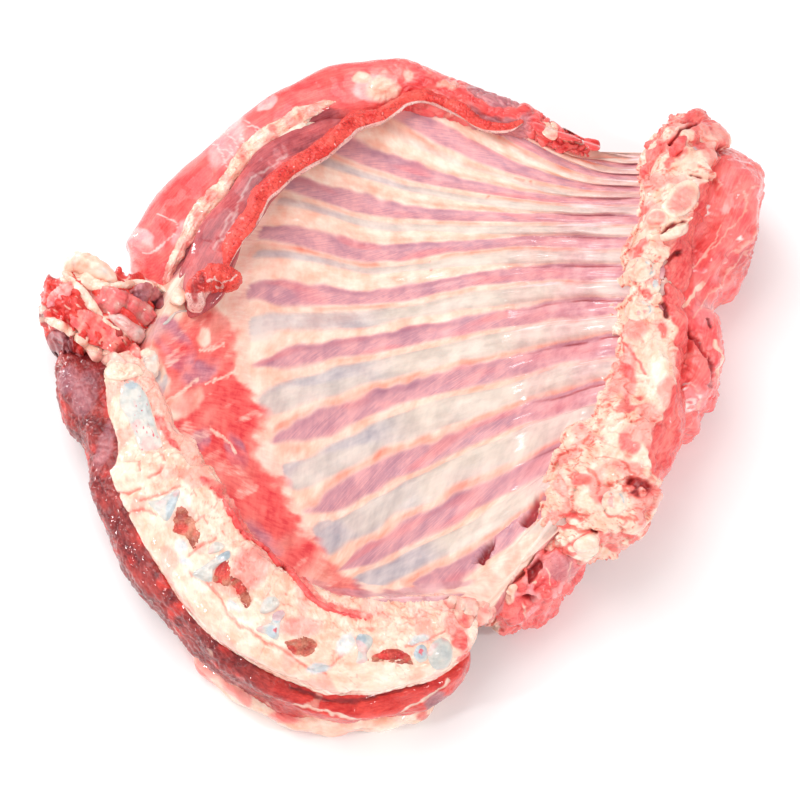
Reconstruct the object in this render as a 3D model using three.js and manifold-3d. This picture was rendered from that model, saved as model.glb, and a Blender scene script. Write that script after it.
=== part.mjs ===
// Lamb ribs: one whole side of a lamb's rib cage, sawn down the middle of the backbone and the breastbone.
// It lies on its outer face, so the hollow inner side with its thirteen ribs looks up.
// The backbone runs up the right side, the breastbone down the left side and round the front,
// and the belly flap with the cut edge of the skirt closes the back. Millimetres, +Z up.
import * as THREE from "three";
import { mergeVertices } from "three/addons/utils/BufferGeometryUtils.js";
import Module from "manifold-3d";

const wasm = await Module();
wasm.setup();

// Sizes that hold for the whole side.
const GAP = 0.3; // left between two pieces that touch
const FINEST = 0.28; // facets that change the shape by less are merged
const WALL = 14; // rib, the muscle between ribs and the thin meat outside them
const THIN_WALL = 9; // the same at the first and the last rib
const RIB_RELIEF = 2.4; // how far a rib stands above the muscle beside it
const FIRST_RIB = 1;
const LAST_RIB = 13;
const FIRST_EDGE = 0.05; // of a rib spacing, wall in front of the first rib
const LAST_EDGE = 0.25; // and behind the last rib
const ACROSS_STEPS = 13;
const STEPS_A_RIB = 4;
const OVER_HOLLOW = [10, 30, 170]; // a point above the hollow, from which the wall's thickness points away

// The path of a rib from the backbone (first point) over the hollow to the breastbone edge (last point).
const RIB_PATHS = [
  { rib: 1, path: [[85, -69, 66], [69, -83, 50], [55, -98, 46], [46, -111, 52], [39, -119, 60]] },
  { rib: 2, path: [[88, -52, 68], [55, -63, 36], [18, -82, 30], [-19, -103, 38], [-33, -119, 60]] },
  { rib: 3, path: [[105, -19, 70], [61, -19, 26], [5, -44, 20], [-42, -78, 32], [-70, -102, 60]] },
  { rib: 5, path: [[115, 28, 74], [55, 45, 16], [-11, 31, 12], [-75, 4, 27], [-110, -27, 60]] },
  { rib: 7, path: [[119, 67, 75], [55, 95, 19], [-16, 87, 14], [-80, 88, 29], [-125, 38, 52]] },
  { rib: 9, path: [[125, 97, 72], [72, 121, 30], [6, 134, 24], [-50, 147, 34], [-64, 154, 40]] },
  { rib: 11, path: [[130, 116, 66], [99, 134, 40], [61, 155, 34], [18, 183, 38], [10, 190, 41]] },
  { rib: 13, path: [[136, 135, 58], [121, 142, 46], [102, 152, 40], [84, 166, 38], [79, 170, 40]] },
];

// A long piece is a row of stations: x, y and z of its middle, then its width and its height.
const BREASTBONE = [
  [-147, 21, 57, 26, 20], [-142, 6, 57, 31, 21], [-136, -14, 58, 33, 21], [-130, -32, 59, 35, 22],
  [-125, -45, 62, 44, 26], [-118, -60, 62, 45, 26], [-103, -88, 62, 44, 26], [-83, -116, 61, 44, 26],
  [-55, -135, 60, 44, 26], [-25, -144, 59, 43, 26], [2, -141, 57, 41, 26], [20, -135, 56, 38, 25],
  [33, -128, 54, 30, 22],
];
const BREAST_MUSCLE = [
  [-171, 38, 26, 42, 40], [-159, 8, 29, 43, 42], [-149.5, -12, 30, 40, 42], [-143, -35, 30, 41, 42],
  [-134, -62.5, 30, 41, 42], [-119.5, -88, 30, 41, 40], [-95, -113.5, 30, 43, 38], [-70, -133.5, 29, 46, 36],
  [-42, -145, 28, 50, 34], [-13, -148, 28, 48, 32], [14, -142, 30, 45, 34], [35, -134, 33, 38, 35],
];
const BREAST_FAT = [
  [-100, -108, 9, 44, 16], [-75, -130.5, 9, 54, 18], [-42, -142, 9, 60, 18], [-11, -143, 9, 58, 18],
  [19, -137, 10, 50, 17],
];
const BACKBONE = [
  [164, 160, 62, 52, 38], [153, 137, 64, 50, 44], [147, 116, 65, 44, 44], [141, 93, 65, 40, 44],
  [136, 73, 65, 38, 44], [132, 53, 64, 38, 42], [130, 30, 64, 40, 42], [129, 10, 63, 40, 42],
  [127, -10, 62, 42, 42], [120, -31, 61, 46, 42], [110, -48, 60, 52, 42], [100, -64, 57, 56, 42],
  [86, -76, 50, 44, 38], [73, -84, 44, 28, 30],
];
const LOIN = [
  [178, 148, 42, 46, 66], [174, 124, 39, 56, 72], [165, 90, 38, 50, 72], [154, 68, 38, 36, 70],
  [148.5, 49, 37, 36, 68], [150, 26, 37, 42, 68], [145.5, 3, 36, 41, 66], [133, -11, 36, 26, 64],
  [122, -27, 35, 20, 62], [110, -45, 34, 18, 58], [100, -61, 34, 16, 50],
];
const NECK_MUSCLE = [
  [95, -80, 32, 18, 42], [81, -89, 27, 24, 50], [68, -101, 26, 30, 50], [54.5, -108, 27, 30, 46],
  [43, -112, 29, 22, 38],
];
const FLANK = [
  [-141, 66, 30, 52, 34], [-127, 80, 31, 62, 36], [-115, 105, 31, 56, 36], [-102, 131, 31, 50, 36],
  [-80, 159, 31, 46, 36], [-55, 178, 31, 42, 36], [-28, 190, 31, 38, 36], [-1, 194, 31, 34, 36],
  [25, 189, 32, 28, 32], [46, 178, 33, 24, 28], [70, 170, 34, 18, 24], [90, 158, 36, 14, 20],
  [108, 149, 38, 10, 16],
];
const FLANK_FAT = [
  [-110, 61, 48, 12, 10], [-105, 76, 49, 11, 9], [-100, 94, 49, 13, 10], [-88, 115, 50, 13, 10],
  [-74, 133, 50, 13, 10], [-60, 148, 49, 13, 10], [-34, 163, 49, 15, 11], [0, 175, 48, 12, 9],
];
const SKIRT = [
  [-95, 64, 52, 10, 16], [-92, 76, 52, 9, 18], [-91, 92, 52, 9, 18], [-85, 110, 52, 10, 18],
  [-70, 132, 51, 10, 17], [-55, 148, 50, 13, 17], [-30, 165, 49, 12, 17], [-4, 179, 48, 10, 15],
  [22, 184, 46, 9, 15], [42, 174, 45, 8, 14], [60, 167, 44, 9, 13], [72, 166, 44, 8, 12],
];
const SKIRT_CURL = [
  [-109, 46, 54, 9, 16], [-108, 57, 56, 10, 16], [-98, 65, 56, 11, 16], [-86, 63, 54, 10, 14],
];
const BRISKET_TIP = [
  [-193, 53, 30, 40, 48], [-175, 56, 32, 56, 56], [-155, 52, 33, 58, 56], [-131, 45, 37, 46, 48],
];
const TIP_CARTILAGE = [
  [-181, 71, 50, 5, 14], [-172, 72, 55, 6, 20], [-162, 67, 57, 6, 20], [-151, 60, 58, 5, 12],
];
const TENDON = [
  [-152, 38, 64, 5, 4], [-145, 33, 66, 9, 5], [-138, 28, 66, 10, 5], [-131, 24, 64, 8, 4],
];
const TIP_KNOB = [
  [-135, 18, 64, 5, 6], [-130, 12, 64, 8, 8], [-130, 3, 61, 6, 6],
];

// Bone and gristle that the saw laid open: x, y, z of the middle, half length, half width, half depth, turn.
const BREASTBONE_CUTS = [
  [-136, -20, 65, 21, 8, 5, 107], [-119, -72, 72.5, 8, 6, 4, 140], [-108, -80, 72.5, 9, 6.5, 4, 115],
  [-98, -100, 72, 14, 6, 4, 110], [-79, -123, 72, 12, 6, 4, 130], [-50, -146, 71, 12, 6, 4, 150],
  [-21, -144, 69.5, 9, 5, 4, 176], [-4, -152, 69, 8, 6, 4, 160], [14, -147, 67, 9, 8, 4, 10],
];
const MARROW_CUTS = [3, 4, 5, 6, 8]; // of the breastbone's, those that show the red bone inside
const BACKBONE_CUTS = [
  [123, 56, 84, 9, 5, 5, 15], [125, 33, 84, 10, 5.5, 5, 10], [101, -71, 79, 9, 8, 5, 40],
];
// A cut in the thin skin between the first two ribs, near the neck: middle, half sizes and turn, as above.
const NECK_CUT = [59, -75, 46, 24, 4.5, 8, 39];

// Looks, as sRGB colours.
const PLEURA = { color: 0xe6b4b2, roughness: 0.35, metalness: 0 };
const MUSCLE = { color: 0xe2635f, roughness: 0.45, metalness: 0 };
const DARK_MUSCLE = { color: 0xb4464a, roughness: 0.5, metalness: 0 };
const FAT = { color: 0xfbd0b6, roughness: 0.5, metalness: 0 };
const MARROW = { color: 0xb4604f, roughness: 0.6, metalness: 0 };
const GRISTLE = { color: 0xe6e2dc, roughness: 0.3, metalness: 0 };
const SKIRT_RED = { color: 0xf0544e, roughness: 0.5, metalness: 0 };

// A smooth curve through rows of numbers; place runs from 0 at the first row to 1 at the last.
function along(rows, place) {
  const last = rows.length - 1;
  const at = THREE.MathUtils.clamp(place, 0, 1) * last;
  const i = Math.min(Math.floor(at), last - 1);
  const t = at - i;
  return rows[0].map((_, k) => {
    const b = rows[i][k];
    const c = rows[i + 1][k];
    const a = i > 0 ? rows[i - 1][k] : 2 * b - c;
    const d = i + 2 <= last ? rows[i + 2][k] : 2 * c - b;
    const bend = 2 * a - 5 * b + 4 * c - d + t * (3 * (b - c) + d - a);
    return b + 0.5 * t * (c - a + t * bend);
  });
}

// Where a rib number lies along the row of known rib paths, from 0 to 1.
function placeOfRib(rib) {
  const last = RIB_PATHS.length - 1;
  let i = RIB_PATHS.findIndex((known) => known.rib > rib) - 1;
  if (i < 0) i = last - 1;
  const [from, to] = [RIB_PATHS[i].rib, RIB_PATHS[i + 1].rib];
  return (i + (rib - from) / (to - from)) / last;
}

// A point of the rib cage's smooth inner face. Past its edges the face runs on straight.
function cagePoint(across, rib) {
  const inAcross = THREE.MathUtils.clamp(across, 0, 1);
  const inRib = THREE.MathUtils.clamp(rib, FIRST_RIB, LAST_RIB);
  if (inAcross !== across || inRib !== rib) {
    const step = 0.05;
    const inward = [inAcross + Math.sign(inAcross - across) * step, inRib + Math.sign(inRib - rib) * step];
    const edge = cagePoint(inAcross, inRib);
    const slope = edge.clone().sub(cagePoint(...inward)).divideScalar(step);
    return edge.addScaledVector(slope, Math.max(Math.abs(across - inAcross), Math.abs(rib - inRib)));
  }
  const row = RIB_PATHS.map(({ path }) => along(path, across));
  return new THREE.Vector3(...along(row, placeOfRib(rib)));
}

// The way out through the wall. It fans out from one point, so the wall never folds.
function outward(point) {
  return point.clone().sub(new THREE.Vector3(...OVER_HOLLOW)).normalize();
}

// Ribs stand proud of the muscle between them, and fade out under the muscle beside the breastbone.
function ribRelief(across, rib) {
  const offset = Math.abs(rib - Math.round(rib));
  const onRib = 1 - THREE.MathUtils.smoothstep(offset, 0.16, 0.4);
  const fade = 1 - 0.75 * THREE.MathUtils.smoothstep(across, 0.7, 0.85);
  return RIB_RELIEF * onRib * fade;
}

// A closed solid from rings of points with the same count, the first and last closed by fans.
function solidFromRings(rings, firstTip, lastTip) {
  const count = rings[0].length;
  const points = [...rings.flat(), firstTip, lastTip];
  const [first, last] = [points.length - 2, points.length - 1];
  const corners = [];
  for (let j = 0; j < count; j += 1) {
    const next = (j + 1) % count;
    for (let i = 0; i + 1 < rings.length; i += 1) {
      const [a, b] = [i * count + j, i * count + next];
      corners.push(a, b, b + count, a, b + count, a + count);
    }
    const end = (rings.length - 1) * count;
    corners.push(first, next, j, last, end + j, end + next);
  }
  return solidFrom(new Float32Array(points.flatMap((p) => [p.x, p.y, p.z])), corners);
}

// A manifold solid from positions and corners, turned the right way out.
function solidFrom(positions, corners) {
  const geometry = new THREE.BufferGeometry();
  geometry.setAttribute("position", new THREE.BufferAttribute(positions, 3));
  geometry.setIndex(corners);
  const merged = mergeVertices(geometry, 1e-4);
  const kept = [];
  for (let i = 0; i < merged.index.count; i += 3) {
    const [a, b, c] = [0, 1, 2].map((k) => merged.index.array[i + k]);
    if (a !== b && b !== c && c !== a) kept.push(a, b, c);
  }
  const make = (triVerts) => new wasm.Manifold(new wasm.Mesh({
    numProp: 3, vertProperties: merged.attributes.position.array, triVerts: new Uint32Array(triVerts),
  }));
  const made = make(kept);
  return made.volume() > 0 ? made : make(kept.reverse());
}

// The same solid with its whole skin moved out by the gap, to cut the room it needs out of a neighbour.
function grown(solid) {
  const { vertProperties, triVerts } = solid.getMesh();
  const skin = new THREE.BufferGeometry();
  skin.setAttribute("position", new THREE.BufferAttribute(vertProperties, 3));
  skin.setIndex(new THREE.BufferAttribute(triVerts, 1));
  skin.computeVertexNormals();
  const moved = vertProperties.map((value, i) => value + (GAP + FINEST) * skin.attributes.normal.array[i]);
  return new wasm.Manifold(new wasm.Mesh({ numProp: 3, vertProperties: moved, triVerts }));
}

// The wall of ribs and muscle: the ribbed inner face, and a smooth outer face that lies flat on the table.
function ribWall() {
  const ribSpan = LAST_RIB - FIRST_RIB + FIRST_EDGE + LAST_EDGE;
  const ribSteps = Math.round(ribSpan * STEPS_A_RIB);
  const rings = [];
  for (let i = 0; i <= ribSteps; i += 1) {
    const rib = FIRST_RIB - FIRST_EDGE + (ribSpan * i) / ribSteps;
    const { smoothstep } = THREE.MathUtils;
    const thick = WALL - (WALL - THIN_WALL) * (smoothstep(rib, 8, LAST_RIB) + 1 - smoothstep(rib, 1, 3));
    const inner = [];
    const outer = [];
    for (let j = 0; j <= ACROSS_STEPS; j += 1) {
      const across = -0.05 + (1.08 * j) / ACROSS_STEPS;
      const face = cagePoint(across, rib);
      inner.push(face.clone().addScaledVector(outward(face), -ribRelief(across, rib)));
      const back = face.clone().addScaledVector(outward(face), thick);
      back.z = Math.max(back.z, 0);
      outer.unshift(back);
    }
    rings.push([...inner, ...outer]);
  }
  const middle = (ring) => ring.reduce((sum, p) => sum.add(p), new THREE.Vector3()).divideScalar(ring.length);
  return solidFromRings(rings, middle(rings[0]), middle(rings[ribSteps]));
}

// A long lump of meat or fat: round-cornered sections along a row of stations, closed by blunt round ends.
function lump(stations, { steps, sides = 12, box, tilt = 0, rough = 0.03 } = {}) {
  const rings = [];
  const place = (t) => new THREE.Vector3(...along(stations, t).slice(0, 3));
  for (let i = 1; i < steps; i += 1) {
    const t = i / steps;
    const [, , , width, height] = along(stations, t);
    const taper = Math.sqrt(1 - Math.abs(2 * t - 1) ** 8);
    const forward = place(t + 0.01).sub(place(t - 0.01)).setZ(0).normalize();
    const out = new THREE.Vector3(forward.y, -forward.x, 0);
    const ring = [];
    for (let j = 0; j < sides; j += 1) {
      const angle = (2 * Math.PI * j) / sides;
      const uneven = 1 + rough * (Math.sin(5 * angle + 17 * t) + Math.sin(3 * angle - 41 * t + 1));
      const corner = (wave) => Math.sign(wave) * Math.abs(wave) ** box;
      const side = corner(Math.cos(angle)) * (width / 2) * taper * uneven;
      const up = corner(Math.sin(angle)) * (height / 2) * taper * uneven;
      const lean = THREE.MathUtils.degToRad(tilt);
      const point = place(t).addScaledVector(out, side * Math.cos(lean) - up * Math.sin(lean));
      point.z = Math.max(point.z + side * Math.sin(lean) + up * Math.cos(lean), 0);
      ring.push(point);
    }
    rings.push(ring);
  }
  return solidFromRings(rings, place(0), place(1));
}

// A pebble with the given half sizes, turned about the vertical.
function pebble([x, y, z, length, width, depth, turn]) {
  const ball = new THREE.SphereGeometry(1, 10, 6);
  ball.deleteAttribute("normal");
  ball.deleteAttribute("uv");
  ball.scale(length, width, depth);
  ball.rotateZ(THREE.MathUtils.degToRad(turn));
  ball.translate(x, y, z);
  return solidFrom(ball.attributes.position.array, [...ball.index.array]);
}

// Whether two boxes reach into each other.
function meet(one, other) {
  return [0, 1, 2].every((k) => one.min[k] < other.max[k] && other.min[k] < one.max[k]);
}

// What is left of a solid once its neighbours are cut out of it: its largest body, loose scraps dropped.
function without(solid, placed) {
  const near = placed.filter(({ room }) => meet(room.boundingBox(), solid.boundingBox()));
  const cut = near.reduce((rest, { room }) => rest.subtract(room), solid).simplify(FINEST);
  const left = near.reduce((rest, neighbour) => rest.subtract(neighbour.solid), cut);
  return left.decompose().reduce((most, body) => (body.volume() > most.volume() ? body : most));
}

// The sub-parts in cutting order: each is cut back from the ones named before it.
const LUMPS = {
  breastbone: [[BREASTBONE], { steps: 24, sides: 12, box: 0.5, tilt: -6, rough: 0.02 }, FAT],
  backbone: [[BACKBONE], { steps: 30, sides: 12, box: 0.7, rough: 0.05 }, FAT],
  neck_muscle: [[NECK_MUSCLE], { steps: 10, box: 0.65, rough: 0.04 }, MUSCLE],
  breast_muscle: [[BREAST_MUSCLE], { steps: 22, box: 0.6 }, DARK_MUSCLE],
  breast_fat: [[BREAST_FAT], { steps: 14, sides: 10, box: 0.6 }, FAT],
  loin_muscle: [[LOIN], { steps: 22, box: 0.65, rough: 0.04 }, MUSCLE],
  skirt: [[SKIRT, SKIRT_CURL], { steps: 18, sides: 8, box: 0.8, rough: 0.05 }, SKIRT_RED],
  flank_fat: [[FLANK_FAT], { steps: 16, sides: 6, box: 0.9, rough: 0.06 }, FAT],
  tip_cartilage: [[TIP_CARTILAGE], { steps: 10, sides: 8, box: 0.8, tilt: 12 }, GRISTLE],
  tip_tendon: [[TENDON], { steps: 8, sides: 8, box: 0.8 }, GRISTLE],
  tip_knob: [[TIP_KNOB], { steps: 8, sides: 8, box: 0.8 }, GRISTLE],
  brisket_tip: [[BRISKET_TIP], { steps: 12, box: 0.65, rough: 0.05 }, DARK_MUSCLE],
  flank_muscle: [[FLANK], { steps: 20, box: 0.75, tilt: -14, rough: 0.02 }, MUSCLE],
};

const solids = new Map();
const taken = [];
function addSolid(name, whole, look) {
  const solid = without(whole, taken);
  solids.set(name, { solid, look });
  taken.push({ solid, room: grown(solid) });
}

const neckCut = pebble(NECK_CUT);
BREASTBONE_CUTS.forEach((cut, i) => {
  addSolid(`breastbone_${i + 1}`, pebble(cut), MARROW_CUTS.includes(i + 1) ? MARROW : GRISTLE);
});
BACKBONE_CUTS.forEach((cut, i) => addSolid(`backbone_joint_${i + 1}`, pebble(cut), GRISTLE));
for (const [name, [paths, shape, look]] of Object.entries(LUMPS)) {
  const whole = paths.map((stations) => lump(stations, shape)).reduce((joined, next) => joined.add(next));
  addSolid(name, whole, look);
  if (name === "backbone") addSolid("rib_wall", ribWall().subtract(neckCut), PLEURA);
}

const lambRibs = new THREE.Group();
for (const [name, { solid, look }] of solids) {
  const { vertProperties, triVerts } = solid.getMesh();
  const geometry = new THREE.BufferGeometry();
  geometry.setAttribute("position", new THREE.BufferAttribute(vertProperties, 3));
  geometry.setIndex(new THREE.BufferAttribute(triVerts, 1));
  geometry.computeVertexNormals();
  const mesh = new THREE.Mesh(geometry, new THREE.MeshStandardMaterial(look));
  mesh.name = name;
  lambRibs.add(mesh);
}
const middle = new THREE.Box3().setFromObject(lambRibs).getCenter(new THREE.Vector3());
lambRibs.position.set(-middle.x, -middle.y, 0);

export default lambRibs;
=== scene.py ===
# %% [markdown]
# # A raw side of lamb ribs
# Thirteen ribs curve from the sawn backbone on the right to the sawn breastbone on the left and front. The
# side lies on its outer face, so the wet inner skin over the ribs looks up. Each muscle, bone and layer of
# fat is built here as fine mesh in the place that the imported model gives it, and gets a material of its
# own.

# %% Load the fixed frame
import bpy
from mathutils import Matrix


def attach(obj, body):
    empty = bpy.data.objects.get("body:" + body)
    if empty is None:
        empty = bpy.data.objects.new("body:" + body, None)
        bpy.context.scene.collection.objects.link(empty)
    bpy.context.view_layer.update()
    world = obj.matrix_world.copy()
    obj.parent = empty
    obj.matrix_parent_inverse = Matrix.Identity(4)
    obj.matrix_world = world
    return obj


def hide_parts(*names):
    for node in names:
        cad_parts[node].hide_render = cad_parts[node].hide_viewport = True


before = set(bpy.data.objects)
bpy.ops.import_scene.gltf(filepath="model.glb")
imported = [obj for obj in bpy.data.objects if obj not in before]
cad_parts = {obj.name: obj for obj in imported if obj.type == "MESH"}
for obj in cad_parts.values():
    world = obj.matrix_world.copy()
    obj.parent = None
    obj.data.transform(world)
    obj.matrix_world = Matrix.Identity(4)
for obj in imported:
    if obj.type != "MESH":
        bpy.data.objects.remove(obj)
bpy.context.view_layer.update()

# %% Units and Blender's own tools
import math
from collections import namedtuple

import bpy
import numpy as np
from mathutils import Vector, noise
from mathutils.bvhtree import BVHTree

MM = 0.001
# of the measured rows below, which the frame puts at its own middle
MIDDLE = np.array([2.6651, 19.4321, 0.0])
scene = bpy.context.scene
scene.view_settings.view_transform = "Standard"
print("one millimetre is", MM, "of Blender's metres")

# %% [markdown]
# ## The camera
# A photograph of meat for sale is taken from far off with a long lens, so shapes hardly shrink with
# distance. The camera stands 1.4 m away, 66 degrees above the table, and each of the picture's 800 pixels
# shows 0.53 mm. Small marks below are given by their place in that picture, so a point in mm has to be
# turned into pixels and back.

# %% Make the camera
ELEVATION = math.radians(66)
DISTANCE = 1400.0
MM_A_PIXEL = 0.53
TARGET = np.array([0.0, 0.0, 40.0])
TOWARD = np.array([0.0, -math.cos(ELEVATION), math.sin(ELEVATION)])
UPWARD = np.array([0.0, math.sin(ELEVATION), math.cos(ELEVATION)])

camera = bpy.data.objects.new("camera", bpy.data.cameras.new("camera"))
scene.collection.objects.link(camera)
camera.location = Vector((TARGET - MIDDLE + TOWARD * DISTANCE) * MM)
camera.rotation_euler = Vector(TOWARD).to_track_quat("Z", "Y").to_euler()
camera.data.lens = camera.data.sensor_width * DISTANCE / (MM_A_PIXEL * 800)
scene.camera = camera
print("lens", round(camera.data.lens, 1), "mm")


def picture_place(points):
    """Where points, in mm, show in the 800 pixel picture: across and down."""
    offset = points - TARGET
    depth = (DISTANCE - offset @ TOWARD) * MM_A_PIXEL / DISTANCE
    return 400 + offset[..., 0] / depth, 400 - (offset @ UPWARD) / depth


# %% [markdown]
# ## Light and table
# Wet meat looks wet by its small sharp highlights, so the light is not only a soft white room. A very wide
# lamp overhead models the shapes softly and is too dim to shine in the skin. A narrow upright one stands
# low at the back left, where the rib slopes by the backbone mirror it as thin streaks. Three small ones
# give glints to the steep sides.

# %% Light the room
def aim(name, place, size, tall, power):
    """An area lamp at a place in metres that looks at the meat."""
    lamp = bpy.data.lights.new(name, "AREA")
    lamp.shape, lamp.size, lamp.size_y, lamp.energy = "RECTANGLE", size, tall, power
    holder = bpy.data.objects.new(name, lamp)
    holder.location = place
    holder.rotation_euler = (-Vector(place)).to_track_quat("-Z", "Y").to_euler()
    scene.collection.objects.link(holder)


aim("overhead_lamp", (-0.45, 0.4, 1.5), 1.2, 1.2, 16)
aim("streak_lamp", (-1.25, 0.85, 0.32), 0.12, 0.8, 8)
aim("front_lamp", (0.5, -1.2, 0.75), 0.2, 0.2, 4)
aim("left_lamp", (-1.1, -0.5, 0.55), 0.15, 0.15, 4)
aim("right_lamp", (0.95, -0.45, 0.85), 0.12, 0.12, 3.5)
room = bpy.data.worlds.new("room")
room.use_nodes = True
room.node_tree.nodes["Background"].inputs["Color"].default_value = (1, 1, 1, 1)
room.node_tree.nodes["Background"].inputs["Strength"].default_value = 0.55
scene.world = room
print("lamps", [lamp.name for lamp in bpy.data.lights])

# %% [markdown]
# ## Colours and nodes
# Colours are written as the hex codes that a picture editor shows. One function turns them into the linear
# numbers that Blender counts in, and one adds a shader node with its settings and links.

# %% Helpers for materials
def colour(code):
    """Linear RGBA from an sRGB hex code."""
    parts = [int(code[k:k + 2], 16) / 255 for k in (1, 3, 5)]
    return [c / 12.92 if c <= 0.04045 else ((c + 0.055) / 1.055) ** 2.4 for c in parts] + [1.0]


def add(tree, kind, inputs=None, **settings):
    """A new node: inputs holds a value or a linked socket for each input, settings the node's own options."""
    made = tree.nodes.new(kind)
    for key, value in settings.items():
        setattr(made, key, value)
    for key, value in (inputs or {}).items():
        if isinstance(value, bpy.types.NodeSocket):
            tree.links.new(value, made.inputs[key])
        else:
            made.inputs[key].default_value = value
    return made


print("middle grey #808080 is", round(colour("#808080")[0], 3), "in linear numbers")

# %% [markdown]
# ## The table
# The meat lies on a plain white table. A flat mesh is enough for that, as only the soft shadow under the piece
# shows on it.

# %% Lay the table
def make_table():
    """A matt white table top, 8 m wide, so that it also fills low views."""
    mesh = bpy.data.meshes.new("table")
    mesh.from_pydata([(-4, -4, 0), (4, -4, 0), (4, 4, 0), (-4, 4, 0)], [], [(0, 1, 2, 3)])
    table = bpy.data.objects.new("table", mesh)
    scene.collection.objects.link(table)
    white = bpy.data.materials.new("matt white table")
    white.use_nodes = True
    tree = white.node_tree
    shader = tree.nodes["Principled BSDF"]
    shader.inputs["Roughness"].default_value = 0.9
    grain = add(tree, "ShaderNodeTexNoise", {"Scale": 300.0, "Detail": 2.0})
    tint = add(tree, "ShaderNodeMix", {0: grain.outputs["Fac"], 6: colour("#fafafa"), 7: colour("#ffffff")},
               data_type="RGBA")
    tree.links.new(tint.outputs[2], shader.inputs["Base Color"])
    mesh.materials.append(white)


make_table()
print("table 8 m by 8 m")

# %% [markdown]
# ## Meat, fat and bone as materials
# All tissue here is the same kind of thing: a wet, slightly see-through solid whose colour changes with
# what lies under the skin. So one recipe makes each material from layers. A layer is a pair of tones, and a
# mask stored on the mesh says where it shows. Grains mix the two tones: streaks along muscle fibres,
# streaks along a rib, or clouds. A soft layer fades as its mask does, as fat does under clear skin. A hard
# one frays along its grain, as cut fibres do. Water gives an IOR of about 1.35 and a glossy coat over the
# rougher meat.

# %% The recipe for wet tissue
def tissue(name, grains, layers, bumps, rough=0.42, coat=0.5, glaze=0.15, glow=0.06):
    """A tissue. grains: name -> length, width in mm and turn in degrees. layers: (mask, dark, light, grain,
    how soft from 0 to 1), the first one without a mask. bumps: (grain, height in mm)."""
    material = bpy.data.materials.new(name)
    material.use_nodes = True
    tree = material.node_tree
    shader = tree.nodes["Principled BSDF"]
    flow = add(tree, "ShaderNodeAttribute", attribute_name="flow").outputs["Vector"]

    def texture(length, width, turn):
        lay = add(tree, "ShaderNodeMapping",
                  {"Vector": flow, "Rotation": (0, 0, math.radians(turn)), "Scale": (length, width, width)},
                  vector_type="TEXTURE").outputs[0]
        return add(tree, "ShaderNodeTexNoise", {"Vector": lay, "Scale": 1.0, "Detail": 3.0,
                                                "Roughness": 0.6}).outputs["Fac"]

    grain = {key: texture(*numbers) for key, numbers in grains.items()}
    patch = texture(12.0, 9.0, 0)
    seen = None
    for mask, dark, light, kind, soft in layers:
        both = add(tree, "ShaderNodeMath", {0: grain[kind], 1: 0.65, 2: patch},
                   operation="MULTIPLY_ADD").outputs[0]
        tone = add(tree, "ShaderNodeMapRange", {"Value": both, "From Min": 0.64, "From Max": 1.01})
        look = add(tree, "ShaderNodeMix", {0: tone.outputs[0], 6: colour(dark), 7: colour(light)},
                   data_type="RGBA").outputs[2]
        if seen is None:
            seen = look
            continue
        cover = add(tree, "ShaderNodeAttribute", attribute_name=mask).outputs["Fac"]
        fray, half = (1 - soft) * 0.8, 0.5 * soft + 0.04
        ragged = add(tree, "ShaderNodeMath", {0: grain[kind], 1: 2 * fray, 2: cover},
                     operation="MULTIPLY_ADD")
        edge = add(tree, "ShaderNodeMapRange",
                   {"Value": ragged.outputs[0], "From Min": 0.5 - half + fray, "From Max": 0.5 + half + fray},
                   interpolation_type="SMOOTHSTEP")
        there = add(tree, "ShaderNodeMath", {0: cover, 1: 4.0}, operation="MULTIPLY", use_clamp=True)
        amount = add(tree, "ShaderNodeMath", {0: edge.outputs[0], 1: there.outputs[0]}, operation="MULTIPLY")
        seen = add(tree, "ShaderNodeMix", {0: amount.outputs[0], 6: seen, 7: look},
                   data_type="RGBA").outputs[2]
    tree.links.new(seen, shader.inputs["Base Color"])
    dull = add(tree, "ShaderNodeMapRange", {"Value": patch, "From Min": 0.3, "From Max": 0.7,
                                            "To Min": rough - 0.1, "To Max": rough + 0.1})
    tree.links.new(dull.outputs[0], shader.inputs["Roughness"])
    height = 0.0
    for kind, rise in bumps:
        height = add(tree, "ShaderNodeMath", {0: grain[kind], 1: rise, 2: height},
                     operation="MULTIPLY_ADD").outputs[0]
    bump = add(tree, "ShaderNodeBump", {"Height": height, "Distance": MM})
    tree.links.new(bump.outputs[0], shader.inputs["Normal"])
    for socket, value in {"IOR": 1.38, "Coat Weight": coat, "Coat Roughness": glaze, "Coat IOR": 1.34,
                          "Subsurface Weight": glow, "Subsurface Scale": 0.002,
                          "Subsurface Radius": (1.0, 0.35, 0.25)}.items():
        shader.inputs[socket].default_value = value
    return material


# %% Pleura
# A thin wet skin: fat, muscle and bone show through it in soft bands. By the spine it shines in streaks,
# from a lamp and from painted highlight, and painted shade darkens it under each rib.
pleura = tissue("pleura over ribs and muscle", {
    "streak": (10, 0.55, -17), "slow": (28, 4, 0), "cloud": (9, 5, 0), "brush": (11, 1.1, 14),
    "hair": (50, 0.7, -5)}, [
        (None, "#f5bda5", "#ffe6d4", "cloud", 1), ("line", "#f0806b", "#fcb39e", "slow", 1),
        # the deep layer is painted shade under the ribs
        ("muscle", "#b88392", "#e8a8aa", "streak", 0.85), ("deep", "#9c667c", "#c48a98", "streak", 0.55),
        ("rosy", "#df777e", "#f49f9a", "streak", 1), ("bone", "#aaa2aa", "#d6cac8", "slow", 1),
        ("warm", "#ccbeb2", "#e8d8ca", "slow", 1), ("patch", "#df343d", "#ff736b", "brush", 1),
        ("mauve", "#b0657c", "#dc949e", "brush", 1), ("feather", "#fabba8", "#ffe0d0", "brush", 0.6),
        # painted light: a lilac veil of sheen and shade, and near-white highlight streaks
        ("haze", "#bd7c88", "#e2afb3", "slow", 1), ("sheen", "#f4d2d6", "#fffbfb", "hair", 0.7),
        # the cut layer also holds painted shade lines under the ribs by the spine
        ("cut", "#7c1a20", "#b83a40", "cloud", 0.8)],
    [("streak", 0.07), ("hair", 0.2), ("cloud", 0.2)], rough=0.5, coat=0.6, glaze=0.12, glow=0.1)
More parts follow.
